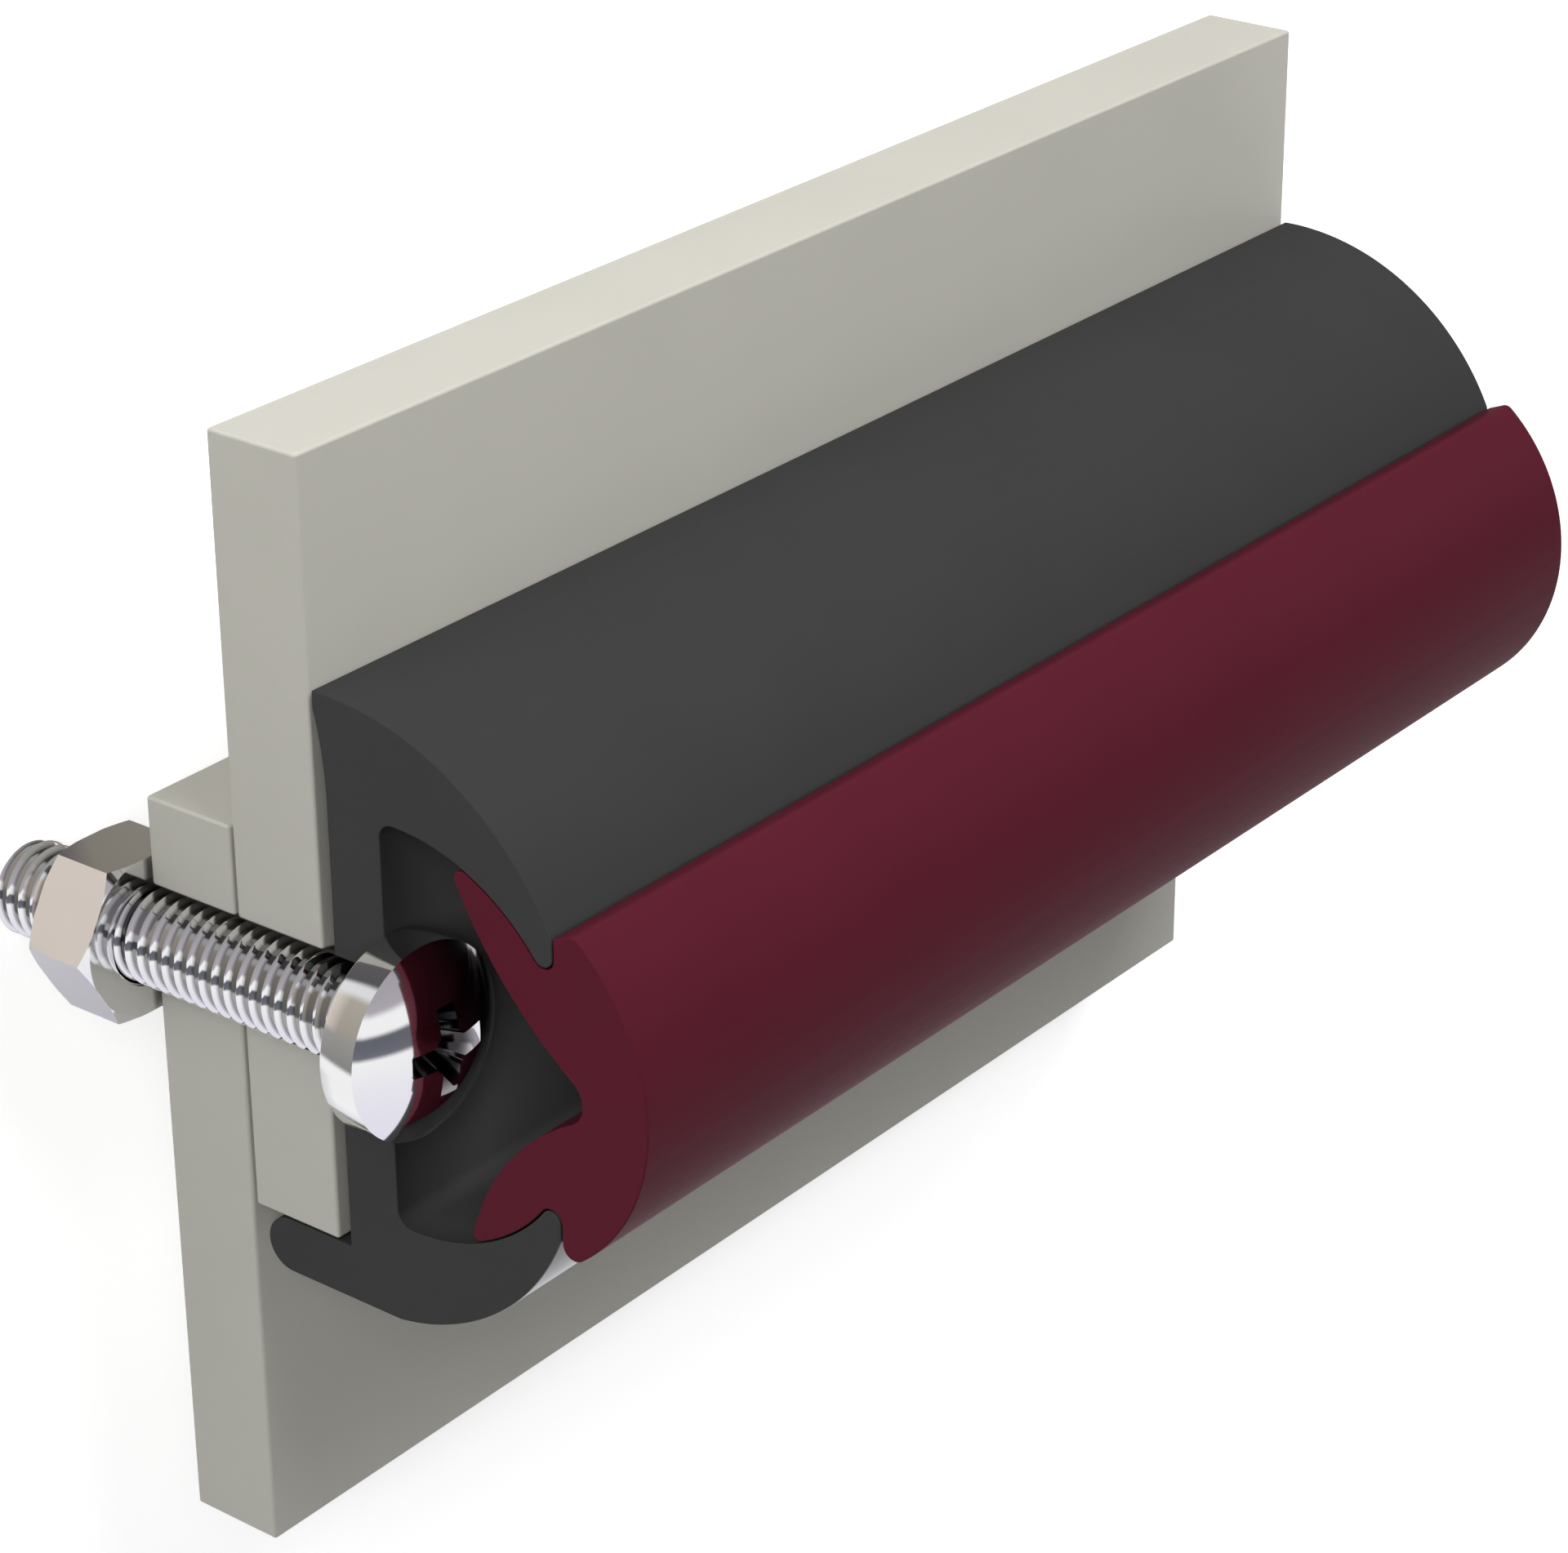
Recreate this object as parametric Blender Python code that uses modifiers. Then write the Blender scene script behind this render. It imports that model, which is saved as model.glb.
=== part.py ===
"""Rub rail bolted over a hull-to-deck joint: a short sample, cut square through a screw.

Everything hangs on one empty, whose own axes are the rail frame: X runs along the rail from the
cut end, Y goes back through the plates to the inside of the hull, and Z goes up the hull side.
Its origin is the foot of the deck plate's front face at the cut end. Section outlines are drawn
as (p, z), where p is the distance out from that face, so p = -y.

Sizes are in millimetres, and MM turns them into Blender's metres.
"""
import math

import bmesh
import bpy
from mathutils import Vector

MM = 0.001

# Length, and the room left between pieces that touch on the real rail
LENGTH = 100.0
SEAT_GAP = 0.25
SNAP_GAP = 0.25

# Deck and hull flanges
PLATE_THICKNESS = 6.7
PLATE_EDGE = 0.25
DECK_HEIGHT = 49.5
HULL_TOP = 25.0
HULL_BOTTOM = -24.3

# Screw, nut and the hole they go through
SCREW_Z = 15.9
HOLE_RADIUS = 3.3
SHANK_RADIUS = 3.0
SHANK_LENGTH = 29.8
TIP_CHAMFER = 0.6
HEAD_RADIUS = 6.0
HEAD_HEIGHT = 4.6
HEAD_RIM = 2.5
NUT_ACROSS_FLATS = 10.0
NUT_HEIGHT = 4.8
NUT_FACE_DIAMETER = 9.5
NUT_CHAMFER_ANGLE = 30.0

# Base profile: a half round with a web behind it and a lip under the deck plate
UPPER_OUTER_ARC = (1.2, 17.55)
UPPER_OUTER_RADIUS = 18.05
LOWER_OUTER_ARC = (2.1, 12.65)
LOWER_OUTER_RADIUS = 16.55
WEB_BACK = 0.95
WEB_FRONT = 4.9
LIP_TOP = -SEAT_GAP
LIP_BOTTOM = -3.7
LIP_REACH = -5.8
RELIEF_START = 28.7
RELIEF_END = 34.5
CHANNEL_ARC = (5.9, 15.8)
CHANNEL_RADIUS = 13.0
CHANNEL_FILLET = 1.0
HOOK_SIDE = 17.4
HOOK_RADIUS = 0.7

# Insert profile: a round nose on two springy tongues that catch behind the hooks
NOSE_ARC = (10.9, 15.9)
NOSE_RADIUS = 13.05
CREST_RADIUS = 0.6
CREST_Z = 25.45
CREST_END = 116.0
TOE_RADIUS = 0.85
TONGUE_TIP_RADIUS = 0.55
TONGUE_FACE_ARC = (33.8, 37.8)
TONGUE_FACE_RADIUS = 25.8
FOOT_TIP_RADIUS = 0.4
FOOT_FACE_ARC = (26.4, 0.05)
FOOT_FACE_RADIUS = 16.3
APEX_RADIUS = 1.6

# How finely the arcs are cut
ARC_STEP = 3.0
SMALL_ARC_STEP = 15.0
TURNED_STEPS = 48

# Colours are linear
GELCOAT = (0.50, 0.49, 0.44, 1.0)
CHARCOAL_VINYL = (0.050, 0.050, 0.052, 1.0)
BURGUNDY_VINYL = (0.115, 0.018, 0.032, 1.0)
CHROME = (0.80, 0.80, 0.81, 1.0)


# Scene helpers

def clear_scene():
    for obj in list(bpy.data.objects):
        bpy.data.objects.remove(obj, do_unlink=True)


def new_collection(name):
    collection = bpy.data.collections.new(name)
    bpy.context.scene.collection.children.link(collection)
    return collection


def principled(name, color, roughness, metallic=0.0):
    material = bpy.data.materials.new(name)
    material.use_nodes = True
    shader = material.node_tree.nodes["Principled BSDF"]
    shader.inputs["Base Color"].default_value = color
    shader.inputs["Roughness"].default_value = roughness
    shader.inputs["Metallic"].default_value = metallic
    return material


def place(obj, collection, frame, material=None):
    """Moves obj to its collection, hangs it on the rail frame and gives it its finish."""
    for old in list(obj.users_collection):
        old.objects.unlink(obj)
    collection.objects.link(obj)
    obj.parent = frame
    if material:
        obj.data.materials.append(material)
    return obj


def cut(obj, cutter, operation="DIFFERENCE"):
    modifier = obj.modifiers.new(cutter.name, "BOOLEAN")
    modifier.operation = operation
    modifier.solver = "EXACT"
    modifier.object = cutter


def as_cutter(obj):
    obj.hide_render = True
    obj.display_type = "WIRE"
    return obj


# Outline helpers: every outline is a list of (p, z) points in millimetres

def on_circle(centre, radius, degrees):
    angle = math.radians(degrees)
    return (centre[0] + radius * math.cos(angle), centre[1] + radius * math.sin(angle))


def arc(centre, radius, start, end, step=ARC_STEP):
    """Points on a circle from one angle to another, both ends included."""
    count = max(2, math.ceil(abs(end - start) / step))
    return [on_circle(centre, radius, start + (end - start) * i / count) for i in range(count + 1)]


def angle_to(centre, point):
    return math.degrees(math.atan2(point[1] - centre[1], point[0] - centre[0]))


def at_p(centre, radius, p, side):
    """The point of a circle at distance p, above (side = 1) or below (side = -1) its centre."""
    return (p, centre[1] + side * math.sqrt(radius ** 2 - (p - centre[0]) ** 2))


def hook_centre(side):
    """Centre of a round hook tip that touches the channel's arc and the hook's flat side."""
    return at_p(CHANNEL_ARC, CHANNEL_RADIUS + HOOK_RADIUS, HOOK_SIDE - HOOK_RADIUS, side)


def meeting(first, first_radius, second, second_radius, side):
    """Where two circles cross: the crossing on the left (side = 1) or right of first to second."""
    dp = second[0] - first[0]
    dz = second[1] - first[1]
    apart = math.hypot(dp, dz)
    along = (first_radius ** 2 - second_radius ** 2 + apart ** 2) / (2 * apart)
    across = side * math.sqrt(first_radius ** 2 - along ** 2)
    return (first[0] + (along * dp - across * dz) / apart, first[1] + (along * dz + across * dp) / apart)


UPPER_HOOK = hook_centre(1)
LOWER_HOOK = hook_centre(-1)


def base_outline():
    """The base's section, from the lip's round end along the outside to the back."""
    lip_radius = (LIP_TOP - LIP_BOTTOM) / 2
    lip_centre = (LIP_REACH + lip_radius, LIP_BOTTOM + lip_radius)
    bottom_angle = math.degrees(math.asin((LIP_BOTTOM - LOWER_OUTER_ARC[1]) / LOWER_OUTER_RADIUS))
    lower_side = at_p(LOWER_OUTER_ARC, LOWER_OUTER_RADIUS, HOOK_SIDE, -1)
    upper_side = at_p(UPPER_OUTER_ARC, UPPER_OUTER_RADIUS, HOOK_SIDE, 1)
    floor_fillet = at_p(CHANNEL_ARC, CHANNEL_RADIUS - CHANNEL_FILLET, WEB_FRONT + CHANNEL_FILLET, -1)
    top_fillet = at_p(CHANNEL_ARC, CHANNEL_RADIUS - CHANNEL_FILLET, WEB_FRONT + CHANNEL_FILLET, 1)
    floor_angle = angle_to(CHANNEL_ARC, floor_fillet)
    top_angle = angle_to(CHANNEL_ARC, top_fillet)
    lower_hook_angle = angle_to(CHANNEL_ARC, LOWER_HOOK)
    upper_hook_angle = angle_to(CHANNEL_ARC, UPPER_HOOK)
    relief_depth = WEB_BACK - SEAT_GAP
    relief_rise = RELIEF_END - RELIEF_START
    relief_radius = (relief_depth ** 2 + relief_rise ** 2) / (2 * relief_depth)
    relief_centre = (WEB_BACK - relief_radius, RELIEF_START)
    relief_angle = math.degrees(math.asin(relief_rise / relief_radius))
    lip_tip = at_p(UPPER_OUTER_ARC, UPPER_OUTER_RADIUS, SEAT_GAP, 1)

    points = arc(lip_centre, lip_radius, 90, 270, SMALL_ARC_STEP)
    points += arc(LOWER_OUTER_ARC, LOWER_OUTER_RADIUS, bottom_angle, angle_to(LOWER_OUTER_ARC, lower_side))
    points += arc(LOWER_HOOK, HOOK_RADIUS, 0, 180 + lower_hook_angle, SMALL_ARC_STEP)
    points += arc(CHANNEL_ARC, CHANNEL_RADIUS, lower_hook_angle, floor_angle)[1:]
    points += arc(floor_fillet, CHANNEL_FILLET, floor_angle % 360, 180, SMALL_ARC_STEP)[1:]
    points += arc(top_fillet, CHANNEL_FILLET, 180, top_angle, SMALL_ARC_STEP)
    points += arc(CHANNEL_ARC, CHANNEL_RADIUS, top_angle, upper_hook_angle)[1:]
    points += arc(UPPER_HOOK, HOOK_RADIUS, 180 + upper_hook_angle, 360, SMALL_ARC_STEP)[1:]
    points += arc(UPPER_OUTER_ARC, UPPER_OUTER_RADIUS, angle_to(UPPER_OUTER_ARC, upper_side),
                  angle_to(UPPER_OUTER_ARC, lip_tip))
    points += arc(relief_centre, relief_radius, relief_angle, 0)
    points += [(WEB_BACK, LIP_TOP)]
    return points


def insert_outline():
    """The insert's section, from its toe round the nose to the crest, then back along the tongues."""
    side = HOOK_SIDE + SNAP_GAP
    toe = at_p(NOSE_ARC, NOSE_RADIUS - TOE_RADIUS, side + TOE_RADIUS, -1)
    crest_p = NOSE_ARC[0] + math.sqrt((NOSE_RADIUS - CREST_RADIUS) ** 2 - (CREST_Z - NOSE_ARC[1]) ** 2)
    crest = (crest_p, CREST_Z)
    crest_foot = (side, at_p(UPPER_OUTER_ARC, UPPER_OUTER_RADIUS, HOOK_SIDE, 1)[1])
    catch_radius = CHANNEL_RADIUS - SNAP_GAP
    lower_hook_angle = angle_to(CHANNEL_ARC, LOWER_HOOK)
    upper_hook_angle = angle_to(CHANNEL_ARC, UPPER_HOOK)
    tongue_tip = meeting(CHANNEL_ARC, catch_radius - TONGUE_TIP_RADIUS,
                         TONGUE_FACE_ARC, TONGUE_FACE_RADIUS - TONGUE_TIP_RADIUS, 1)
    foot_tip = meeting(CHANNEL_ARC, catch_radius - FOOT_TIP_RADIUS,
                       FOOT_FACE_ARC, FOOT_FACE_RADIUS - FOOT_TIP_RADIUS, -1)
    apex = meeting(TONGUE_FACE_ARC, TONGUE_FACE_RADIUS + APEX_RADIUS,
                   FOOT_FACE_ARC, FOOT_FACE_RADIUS + APEX_RADIUS, -1)

    points = arc(toe, TOE_RADIUS, 180, 360 + angle_to(NOSE_ARC, toe), SMALL_ARC_STEP)
    points += arc(NOSE_ARC, NOSE_RADIUS, angle_to(NOSE_ARC, toe), angle_to(NOSE_ARC, crest))[1:]
    points += arc(crest, CREST_RADIUS, angle_to(NOSE_ARC, crest), CREST_END, SMALL_ARC_STEP)[1:]
    points += [crest_foot]
    points += arc(UPPER_HOOK, HOOK_RADIUS + SNAP_GAP, 0, upper_hook_angle - 180, SMALL_ARC_STEP)
    points += arc(CHANNEL_ARC, catch_radius, upper_hook_angle, angle_to(CHANNEL_ARC, tongue_tip))[1:]
    points += arc(tongue_tip, TONGUE_TIP_RADIUS, angle_to(CHANNEL_ARC, tongue_tip),
                  angle_to(TONGUE_FACE_ARC, tongue_tip) % 360, SMALL_ARC_STEP)[1:]
    points += arc(TONGUE_FACE_ARC, TONGUE_FACE_RADIUS, angle_to(TONGUE_FACE_ARC, tongue_tip) % 360,
                  angle_to(TONGUE_FACE_ARC, apex) % 360)[1:]
    points += arc(apex, APEX_RADIUS, angle_to(apex, TONGUE_FACE_ARC), angle_to(apex, FOOT_FACE_ARC),
                  SMALL_ARC_STEP)[1:]
    points += arc(FOOT_FACE_ARC, FOOT_FACE_RADIUS, angle_to(FOOT_FACE_ARC, apex),
                  angle_to(FOOT_FACE_ARC, foot_tip))[1:]
    points += arc(foot_tip, FOOT_TIP_RADIUS, angle_to(FOOT_FACE_ARC, foot_tip),
                  360 + angle_to(CHANNEL_ARC, foot_tip), SMALL_ARC_STEP)[1:]
    points += arc(CHANNEL_ARC, catch_radius, angle_to(CHANNEL_ARC, foot_tip), lower_hook_angle)[1:]
    points += arc(LOWER_HOOK, HOOK_RADIUS + SNAP_GAP, 180 + lower_hook_angle, 0, SMALL_ARC_STEP)[1:]
    return points


# Pieces

def extruded(name, outline):
    """A section drawn as a flat curve and pulled along the rail, as one closed mesh."""
    curve = bpy.data.curves.new(name, "CURVE")
    curve.dimensions = "2D"
    curve.fill_mode = "BOTH"
    curve.extrude = LENGTH / 2 * MM
    spline = curve.splines.new("POLY")
    spline.points.add(len(outline) - 1)
    for point, (p, z) in zip(spline.points, outline):
        point.co = (p * MM, z * MM, 0, 1)
    spline.use_cyclic_u = True
    drawn = bpy.data.objects.new(name + "_outline", curve)
    bpy.context.scene.collection.objects.link(drawn)

    mesh = bpy.data.meshes.new_from_object(drawn.evaluated_get(bpy.context.evaluated_depsgraph_get()))
    welded = bmesh.new()
    welded.from_mesh(mesh)
    bmesh.ops.remove_doubles(welded, verts=welded.verts, dist=0.001 * MM)
    welded.to_mesh(mesh)
    welded.free()
    mesh.name = name
    mesh.shade_smooth()
    mesh.set_sharp_from_angle(angle=math.radians(30))
    bpy.data.objects.remove(drawn)

    obj = bpy.data.objects.new(name, mesh)
    obj.rotation_euler = (math.radians(90), 0, math.radians(-90))
    obj.location = (LENGTH / 2 * MM, 0, 0)
    return obj


def plate(name, front_y, bottom, top):
    """A flange of the joint: a flat plate with eased edges, front_y back from the rail's face."""
    bpy.ops.mesh.primitive_cube_add(size=1)
    obj = bpy.context.object
    obj.name = obj.data.name = name
    for vertex in obj.data.vertices:
        vertex.co.x *= LENGTH * MM
        vertex.co.y *= PLATE_THICKNESS * MM
        vertex.co.z *= (top - bottom) * MM
    obj.location = Vector((LENGTH / 2, front_y + PLATE_THICKNESS / 2, (top + bottom) / 2)) * MM
    bevel = obj.modifiers.new("eased_edges", "BEVEL")
    bevel.width = PLATE_EDGE * MM
    bevel.segments = 2
    return obj


def turned(name, outline):
    """A round piece: its (radius, height) outline, top to bottom, spun about its own Z."""
    mesh = bpy.data.meshes.new(name)
    mesh.from_pydata([(radius * MM, 0, height * MM) for radius, height in outline],
                     [(i, i + 1) for i in range(len(outline) - 1)], [])
    obj = bpy.data.objects.new(name, mesh)
    spin = obj.modifiers.new("spin", "SCREW")
    spin.axis = "Z"
    spin.steps = TURNED_STEPS
    spin.render_steps = TURNED_STEPS
    spin.use_merge_vertices = True
    spin.merge_threshold = 0.001 * MM
    spin.use_smooth_shade = False
    return obj


def screw_outline():
    """Pan head over a plain shank; height 0 is the face that bears on the web."""
    dome_rise = HEAD_HEIGHT - HEAD_RIM
    dome_radius = (HEAD_RADIUS ** 2 + dome_rise ** 2) / (2 * dome_rise)
    dome_centre = (0.0, HEAD_HEIGHT - dome_radius)
    rim_angle = angle_to(dome_centre, (HEAD_RADIUS, HEAD_RIM))
    points = arc(dome_centre, dome_radius, 90, rim_angle, SMALL_ARC_STEP / 2)
    points[0] = (0.0, HEAD_HEIGHT)
    points += [(HEAD_RADIUS, 0), (SHANK_RADIUS, 0)]
    points += [(SHANK_RADIUS, TIP_CHAMFER - SHANK_LENGTH)]
    points += [(SHANK_RADIUS - TIP_CHAMFER, -SHANK_LENGTH), (0, -SHANK_LENGTH)]
    return points


def machine_screw(bearing_y):
    obj = turned("machine_screw", screw_outline())
    obj.rotation_euler = (math.radians(90), 0, 0)
    obj.location = Vector((0, bearing_y, SCREW_Z)) * MM
    return obj


def nut_blank_outline():
    """A turned blank whose cone faces take the corners off both ends of the nut."""
    corner_radius = NUT_ACROSS_FLATS / 2 / math.cos(math.radians(30)) + SEAT_GAP
    face_radius = NUT_FACE_DIAMETER / 2
    chamfer = (corner_radius - face_radius) * math.tan(math.radians(NUT_CHAMFER_ANGLE))
    half = NUT_HEIGHT / 2
    return [(0, half), (face_radius, half), (corner_radius, half - chamfer),
            (corner_radius, chamfer - half), (face_radius, -half), (0, -half)]


def hex_nut(seat_y, cutters, frame):
    """A hexagon with flats above and below, its corners turned back and its bore left plain."""
    middle = Vector((0, seat_y + NUT_HEIGHT / 2, SCREW_Z)) * MM
    corner_radius = NUT_ACROSS_FLATS / 2 / math.cos(math.radians(30))
    bpy.ops.mesh.primitive_cylinder_add(vertices=6, radius=corner_radius * MM, depth=NUT_HEIGHT * MM)
    nut = bpy.context.object
    nut.name = nut.data.name = "hex_nut"
    nut.rotation_euler = (math.radians(90), math.radians(90), 0)
    nut.location = middle

    blank = as_cutter(place(turned("nut_blank", nut_blank_outline()), cutters, frame))
    half_step = math.pi / TURNED_STEPS
    blank.rotation_euler = (math.radians(90), half_step, 0)
    blank.location = middle
    cut(nut, blank, "INTERSECT")
    return nut


def screw_hole(cutters, frame):
    """One straight cutter for the clearance hole through nut, plates and web."""
    bpy.ops.mesh.primitive_cylinder_add(vertices=TURNED_STEPS, radius=HOLE_RADIUS * MM,
                                        depth=SHANK_LENGTH * 2 * MM)
    hole = bpy.context.object
    hole.name = hole.data.name = "screw_hole"
    hole.rotation_euler = (math.radians(90), 0, 0)
    hole.location = Vector((0, SHANK_LENGTH - WEB_FRONT - HEAD_HEIGHT, SCREW_Z)) * MM
    return as_cutter(place(hole, cutters, frame))


def world_bounds(objects):
    depsgraph = bpy.context.evaluated_depsgraph_get()
    points = []
    for obj in objects:
        shown = obj.evaluated_get(depsgraph)
        mesh = shown.to_mesh()
        points += [shown.matrix_world @ vertex.co for vertex in mesh.vertices]
        shown.to_mesh_clear()
    low = Vector([min(point[axis] for point in points) for axis in range(3)])
    high = Vector([max(point[axis] for point in points) for axis in range(3)])
    return low, high


def lay_on_back(frame, pieces, tip_y, back_y):
    """Turns the nose up and tips the rail until screw tip and far plate edge both touch the floor."""
    tip_reach = SHANK_RADIUS - TIP_CHAMFER
    tilt = math.atan2(tip_y - back_y, LENGTH - tip_reach)
    frame.rotation_euler = (math.radians(-90), tilt, 0)
    bpy.context.view_layer.update()
    low, high = world_bounds(pieces)
    frame.location = (-(low.x + high.x) / 2, -(low.y + high.y) / 2, -low.z)
    bpy.context.view_layer.update()


def build():
    clear_scene()
    pieces = new_collection("rub_rail")
    cutters = new_collection("cutters")
    frame = bpy.data.objects.new("rail_frame", None)
    pieces.objects.link(frame)

    gelcoat = principled("gelcoat", GELCOAT, 0.35)
    charcoal = principled("charcoal_vinyl", CHARCOAL_VINYL, 0.5)
    burgundy = principled("burgundy_vinyl", BURGUNDY_VINYL, 0.42)
    chrome = principled("chrome", CHROME, 0.12, 1.0)

    hull_front = PLATE_THICKNESS + SEAT_GAP
    hull_back = hull_front + PLATE_THICKNESS
    bearing_y = -(WEB_FRONT + SEAT_GAP)
    tip_y = bearing_y + SHANK_LENGTH

    hole = screw_hole(cutters, frame)
    deck = place(plate("deck_plate", 0, 0, DECK_HEIGHT), pieces, frame, gelcoat)
    hull = place(plate("hull_plate", hull_front, HULL_BOTTOM, HULL_TOP), pieces, frame, gelcoat)
    base = place(extruded("base_profile", base_outline()), pieces, frame, charcoal)
    insert = place(extruded("insert_profile", insert_outline()), pieces, frame, burgundy)
    screw = place(machine_screw(bearing_y), pieces, frame, chrome)
    nut = place(hex_nut(hull_back + SEAT_GAP, cutters, frame), pieces, frame, chrome)
    for drilled in (deck, hull, base, nut):
        cut(drilled, hole)
    lay_on_back(frame, [deck, hull, base, insert, screw, nut], tip_y, hull_back)


build()
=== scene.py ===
# %% [markdown]
# # A rub rail over a hull-to-deck joint
# A rub rail is the bumper round a boat's edge. This sample shows how one is put together: two laminate
# flanges lap each other, a charcoal vinyl profile hooks under the front one, a machine screw and its nut
# clamp the three, and a burgundy insert snaps in front of the screw heads.
#
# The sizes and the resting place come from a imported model, so the first step is to load it. Every piece
# made below stands in the same place as the solid that it replaces.

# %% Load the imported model
import math

import bmesh
import bpy
from mathutils import Matrix, Vector


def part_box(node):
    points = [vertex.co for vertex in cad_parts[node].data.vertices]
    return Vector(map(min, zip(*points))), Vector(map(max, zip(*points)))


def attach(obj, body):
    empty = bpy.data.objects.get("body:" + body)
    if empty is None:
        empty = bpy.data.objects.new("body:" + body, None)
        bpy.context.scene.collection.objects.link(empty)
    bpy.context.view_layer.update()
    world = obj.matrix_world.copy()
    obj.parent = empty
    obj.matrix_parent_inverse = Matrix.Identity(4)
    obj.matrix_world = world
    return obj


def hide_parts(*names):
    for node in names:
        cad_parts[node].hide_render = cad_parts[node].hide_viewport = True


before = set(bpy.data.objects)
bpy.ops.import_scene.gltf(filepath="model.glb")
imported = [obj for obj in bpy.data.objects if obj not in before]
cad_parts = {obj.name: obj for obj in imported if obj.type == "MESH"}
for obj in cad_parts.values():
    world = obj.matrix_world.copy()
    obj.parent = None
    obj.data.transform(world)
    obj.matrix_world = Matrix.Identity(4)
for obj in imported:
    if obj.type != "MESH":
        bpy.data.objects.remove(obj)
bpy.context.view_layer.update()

# %% [markdown]
# ## The rail's own axes
# The sample lies on its back, on the tip of its screw and one edge of a flange, so nothing on it is square
# to the floor. It could be modelled slanted, but that makes every number hard to read. It is easier to
# model it in the rail's own axes and turn each finished mesh: X runs along the rail from the cut end, Y
# goes back through the flanges, and Z goes up the hull side. Sizes are in millimetres.
#
# The pieces of a real sample touch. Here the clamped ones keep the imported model's gap, and the profiles
# keep only a hair between them, because two faces in one place would flicker in the render.

# %% Driving sizes and the matrix from the rail's axes to the room's
MM = 0.001
LENGTH = 100.0
SEAT_GAP = 0.25
SNAP_GAP = 0.1
LIP_GAP = 0.08
PLATE_THICKNESS = 6.7
DECK_HEIGHT = 49.5
HULL_TOP = 25.0
HULL_BOTTOM = -24.3
WEB_BACK = 0.95
WEB_FRONT = 4.9
SCREW_Z = 15.9
SHANK_RADIUS = 3.0
SHANK_LENGTH = 29.8
TIP_CHAMFER = 0.6
TIP_RADIUS = SHANK_RADIUS - TIP_CHAMFER

hull_front = PLATE_THICKNESS + SEAT_GAP
hull_back = hull_front + PLATE_THICKNESS
bearing_y = -(WEB_FRONT + SEAT_GAP)
tip_y = bearing_y + SHANK_LENGTH

tilt = math.atan2(tip_y - hull_back, LENGTH - TIP_RADIUS)
turn = Matrix.Rotation(tilt, 4, "Y") @ Matrix.Rotation(math.radians(-90), 4, "X")
deck_low, deck_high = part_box("deck_plate")
deck_middle = Vector((LENGTH, PLATE_THICKNESS, DECK_HEIGHT)) / 2 * MM
RAIL = Matrix.Translation((deck_low + deck_high) / 2 - turn @ deck_middle) @ turn
print("The rail lies", round(math.degrees(tilt), 2), "degrees off the floor")

# %% [markdown]
# ## Helpers for meshes
# A piece starts in the rail's axes with modifiers on it. `plain_mesh` applies them, and `stand` turns the
# mesh into the room's axes, so that the finished object itself sits at the origin. A cut leaves hair-thin
# triangles where two edges nearly meet. They don't show in a render, but they can leave pinholes in a
# file, so `clear_slivers` closes them up.

# %% Mesh helpers
WELD = 0.001


def show(mesh, name):
    obj = bpy.data.objects.new(name, mesh)
    bpy.context.scene.collection.objects.link(obj)
    return obj


def new_mesh(name):
    return show(bpy.data.meshes.new(name), name)


def plain_mesh(obj):
    """The object with its modifiers applied, as a new object of the same name."""
    name = obj.name
    graph = bpy.context.evaluated_depsgraph_get()
    mesh = bpy.data.meshes.new_from_object(obj.evaluated_get(graph))
    bpy.data.objects.remove(obj)
    mesh.name = name
    return show(mesh, name)


def edit(obj, work):
    """Runs one bmesh function on an object's mesh."""
    mesh = bmesh.new()
    mesh.from_mesh(obj.data)
    work(mesh)
    mesh.to_mesh(obj.data)
    mesh.free()
    return obj


def face_outwards(mesh):
    bmesh.ops.remove_doubles(mesh, verts=mesh.verts, dist=WELD / 2 * MM)
    bmesh.ops.recalc_face_normals(mesh, faces=mesh.faces)


def combine(obj, cutter, operation):
    """Cuts, joins or keeps what two closed meshes share, and throws the cutter away."""
    boolean = obj.modifiers.new(operation.lower(), "BOOLEAN")
    boolean.operation = operation
    boolean.solver = "MANIFOLD"
    boolean.object = cutter
    made = plain_mesh(obj)
    bpy.data.objects.remove(cutter)
    return made


def clear_slivers(obj, size=0.002):
    """Closes the hair-thin faces that a cut leaves, and splits the rest into well-shaped triangles."""
    def work(mesh):
        bmesh.ops.remove_doubles(mesh, verts=mesh.verts, dist=size * MM)
        bmesh.ops.dissolve_degenerate(mesh, dist=size * MM, edges=mesh.edges)
        bmesh.ops.triangulate(mesh, faces=mesh.faces, quad_method="BEAUTY", ngon_method="BEAUTY")
        bmesh.ops.dissolve_degenerate(mesh, dist=size * MM, edges=mesh.edges)
        bmesh.ops.triangulate(mesh, faces=mesh.faces)
    return edit(obj, work)


def ease_edges(obj, width, segments=3, angle=50):
    """Rounds every edge sharper than an angle."""
    bevel = obj.modifiers.new("eased edges", "BEVEL")
    bevel.width = width * MM
    bevel.segments = segments
    bevel.limit_method = "ANGLE"
    bevel.angle_limit = math.radians(angle)
    bevel.harden_normals = True
    obj.data.shade_smooth()
    return plain_mesh(obj)


def smooth(obj, angle=30):
    obj.data.shade_smooth()
    obj.data.set_sharp_from_angle(angle=math.radians(angle))
    return obj


def stand(obj):
    """Turns a mesh from the rail's axes into the room's."""
    obj.data.transform(RAIL)
    print(obj.name, "has", sum(len(face.vertices) - 2 for face in obj.data.polygons), "triangles")
    return obj


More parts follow.
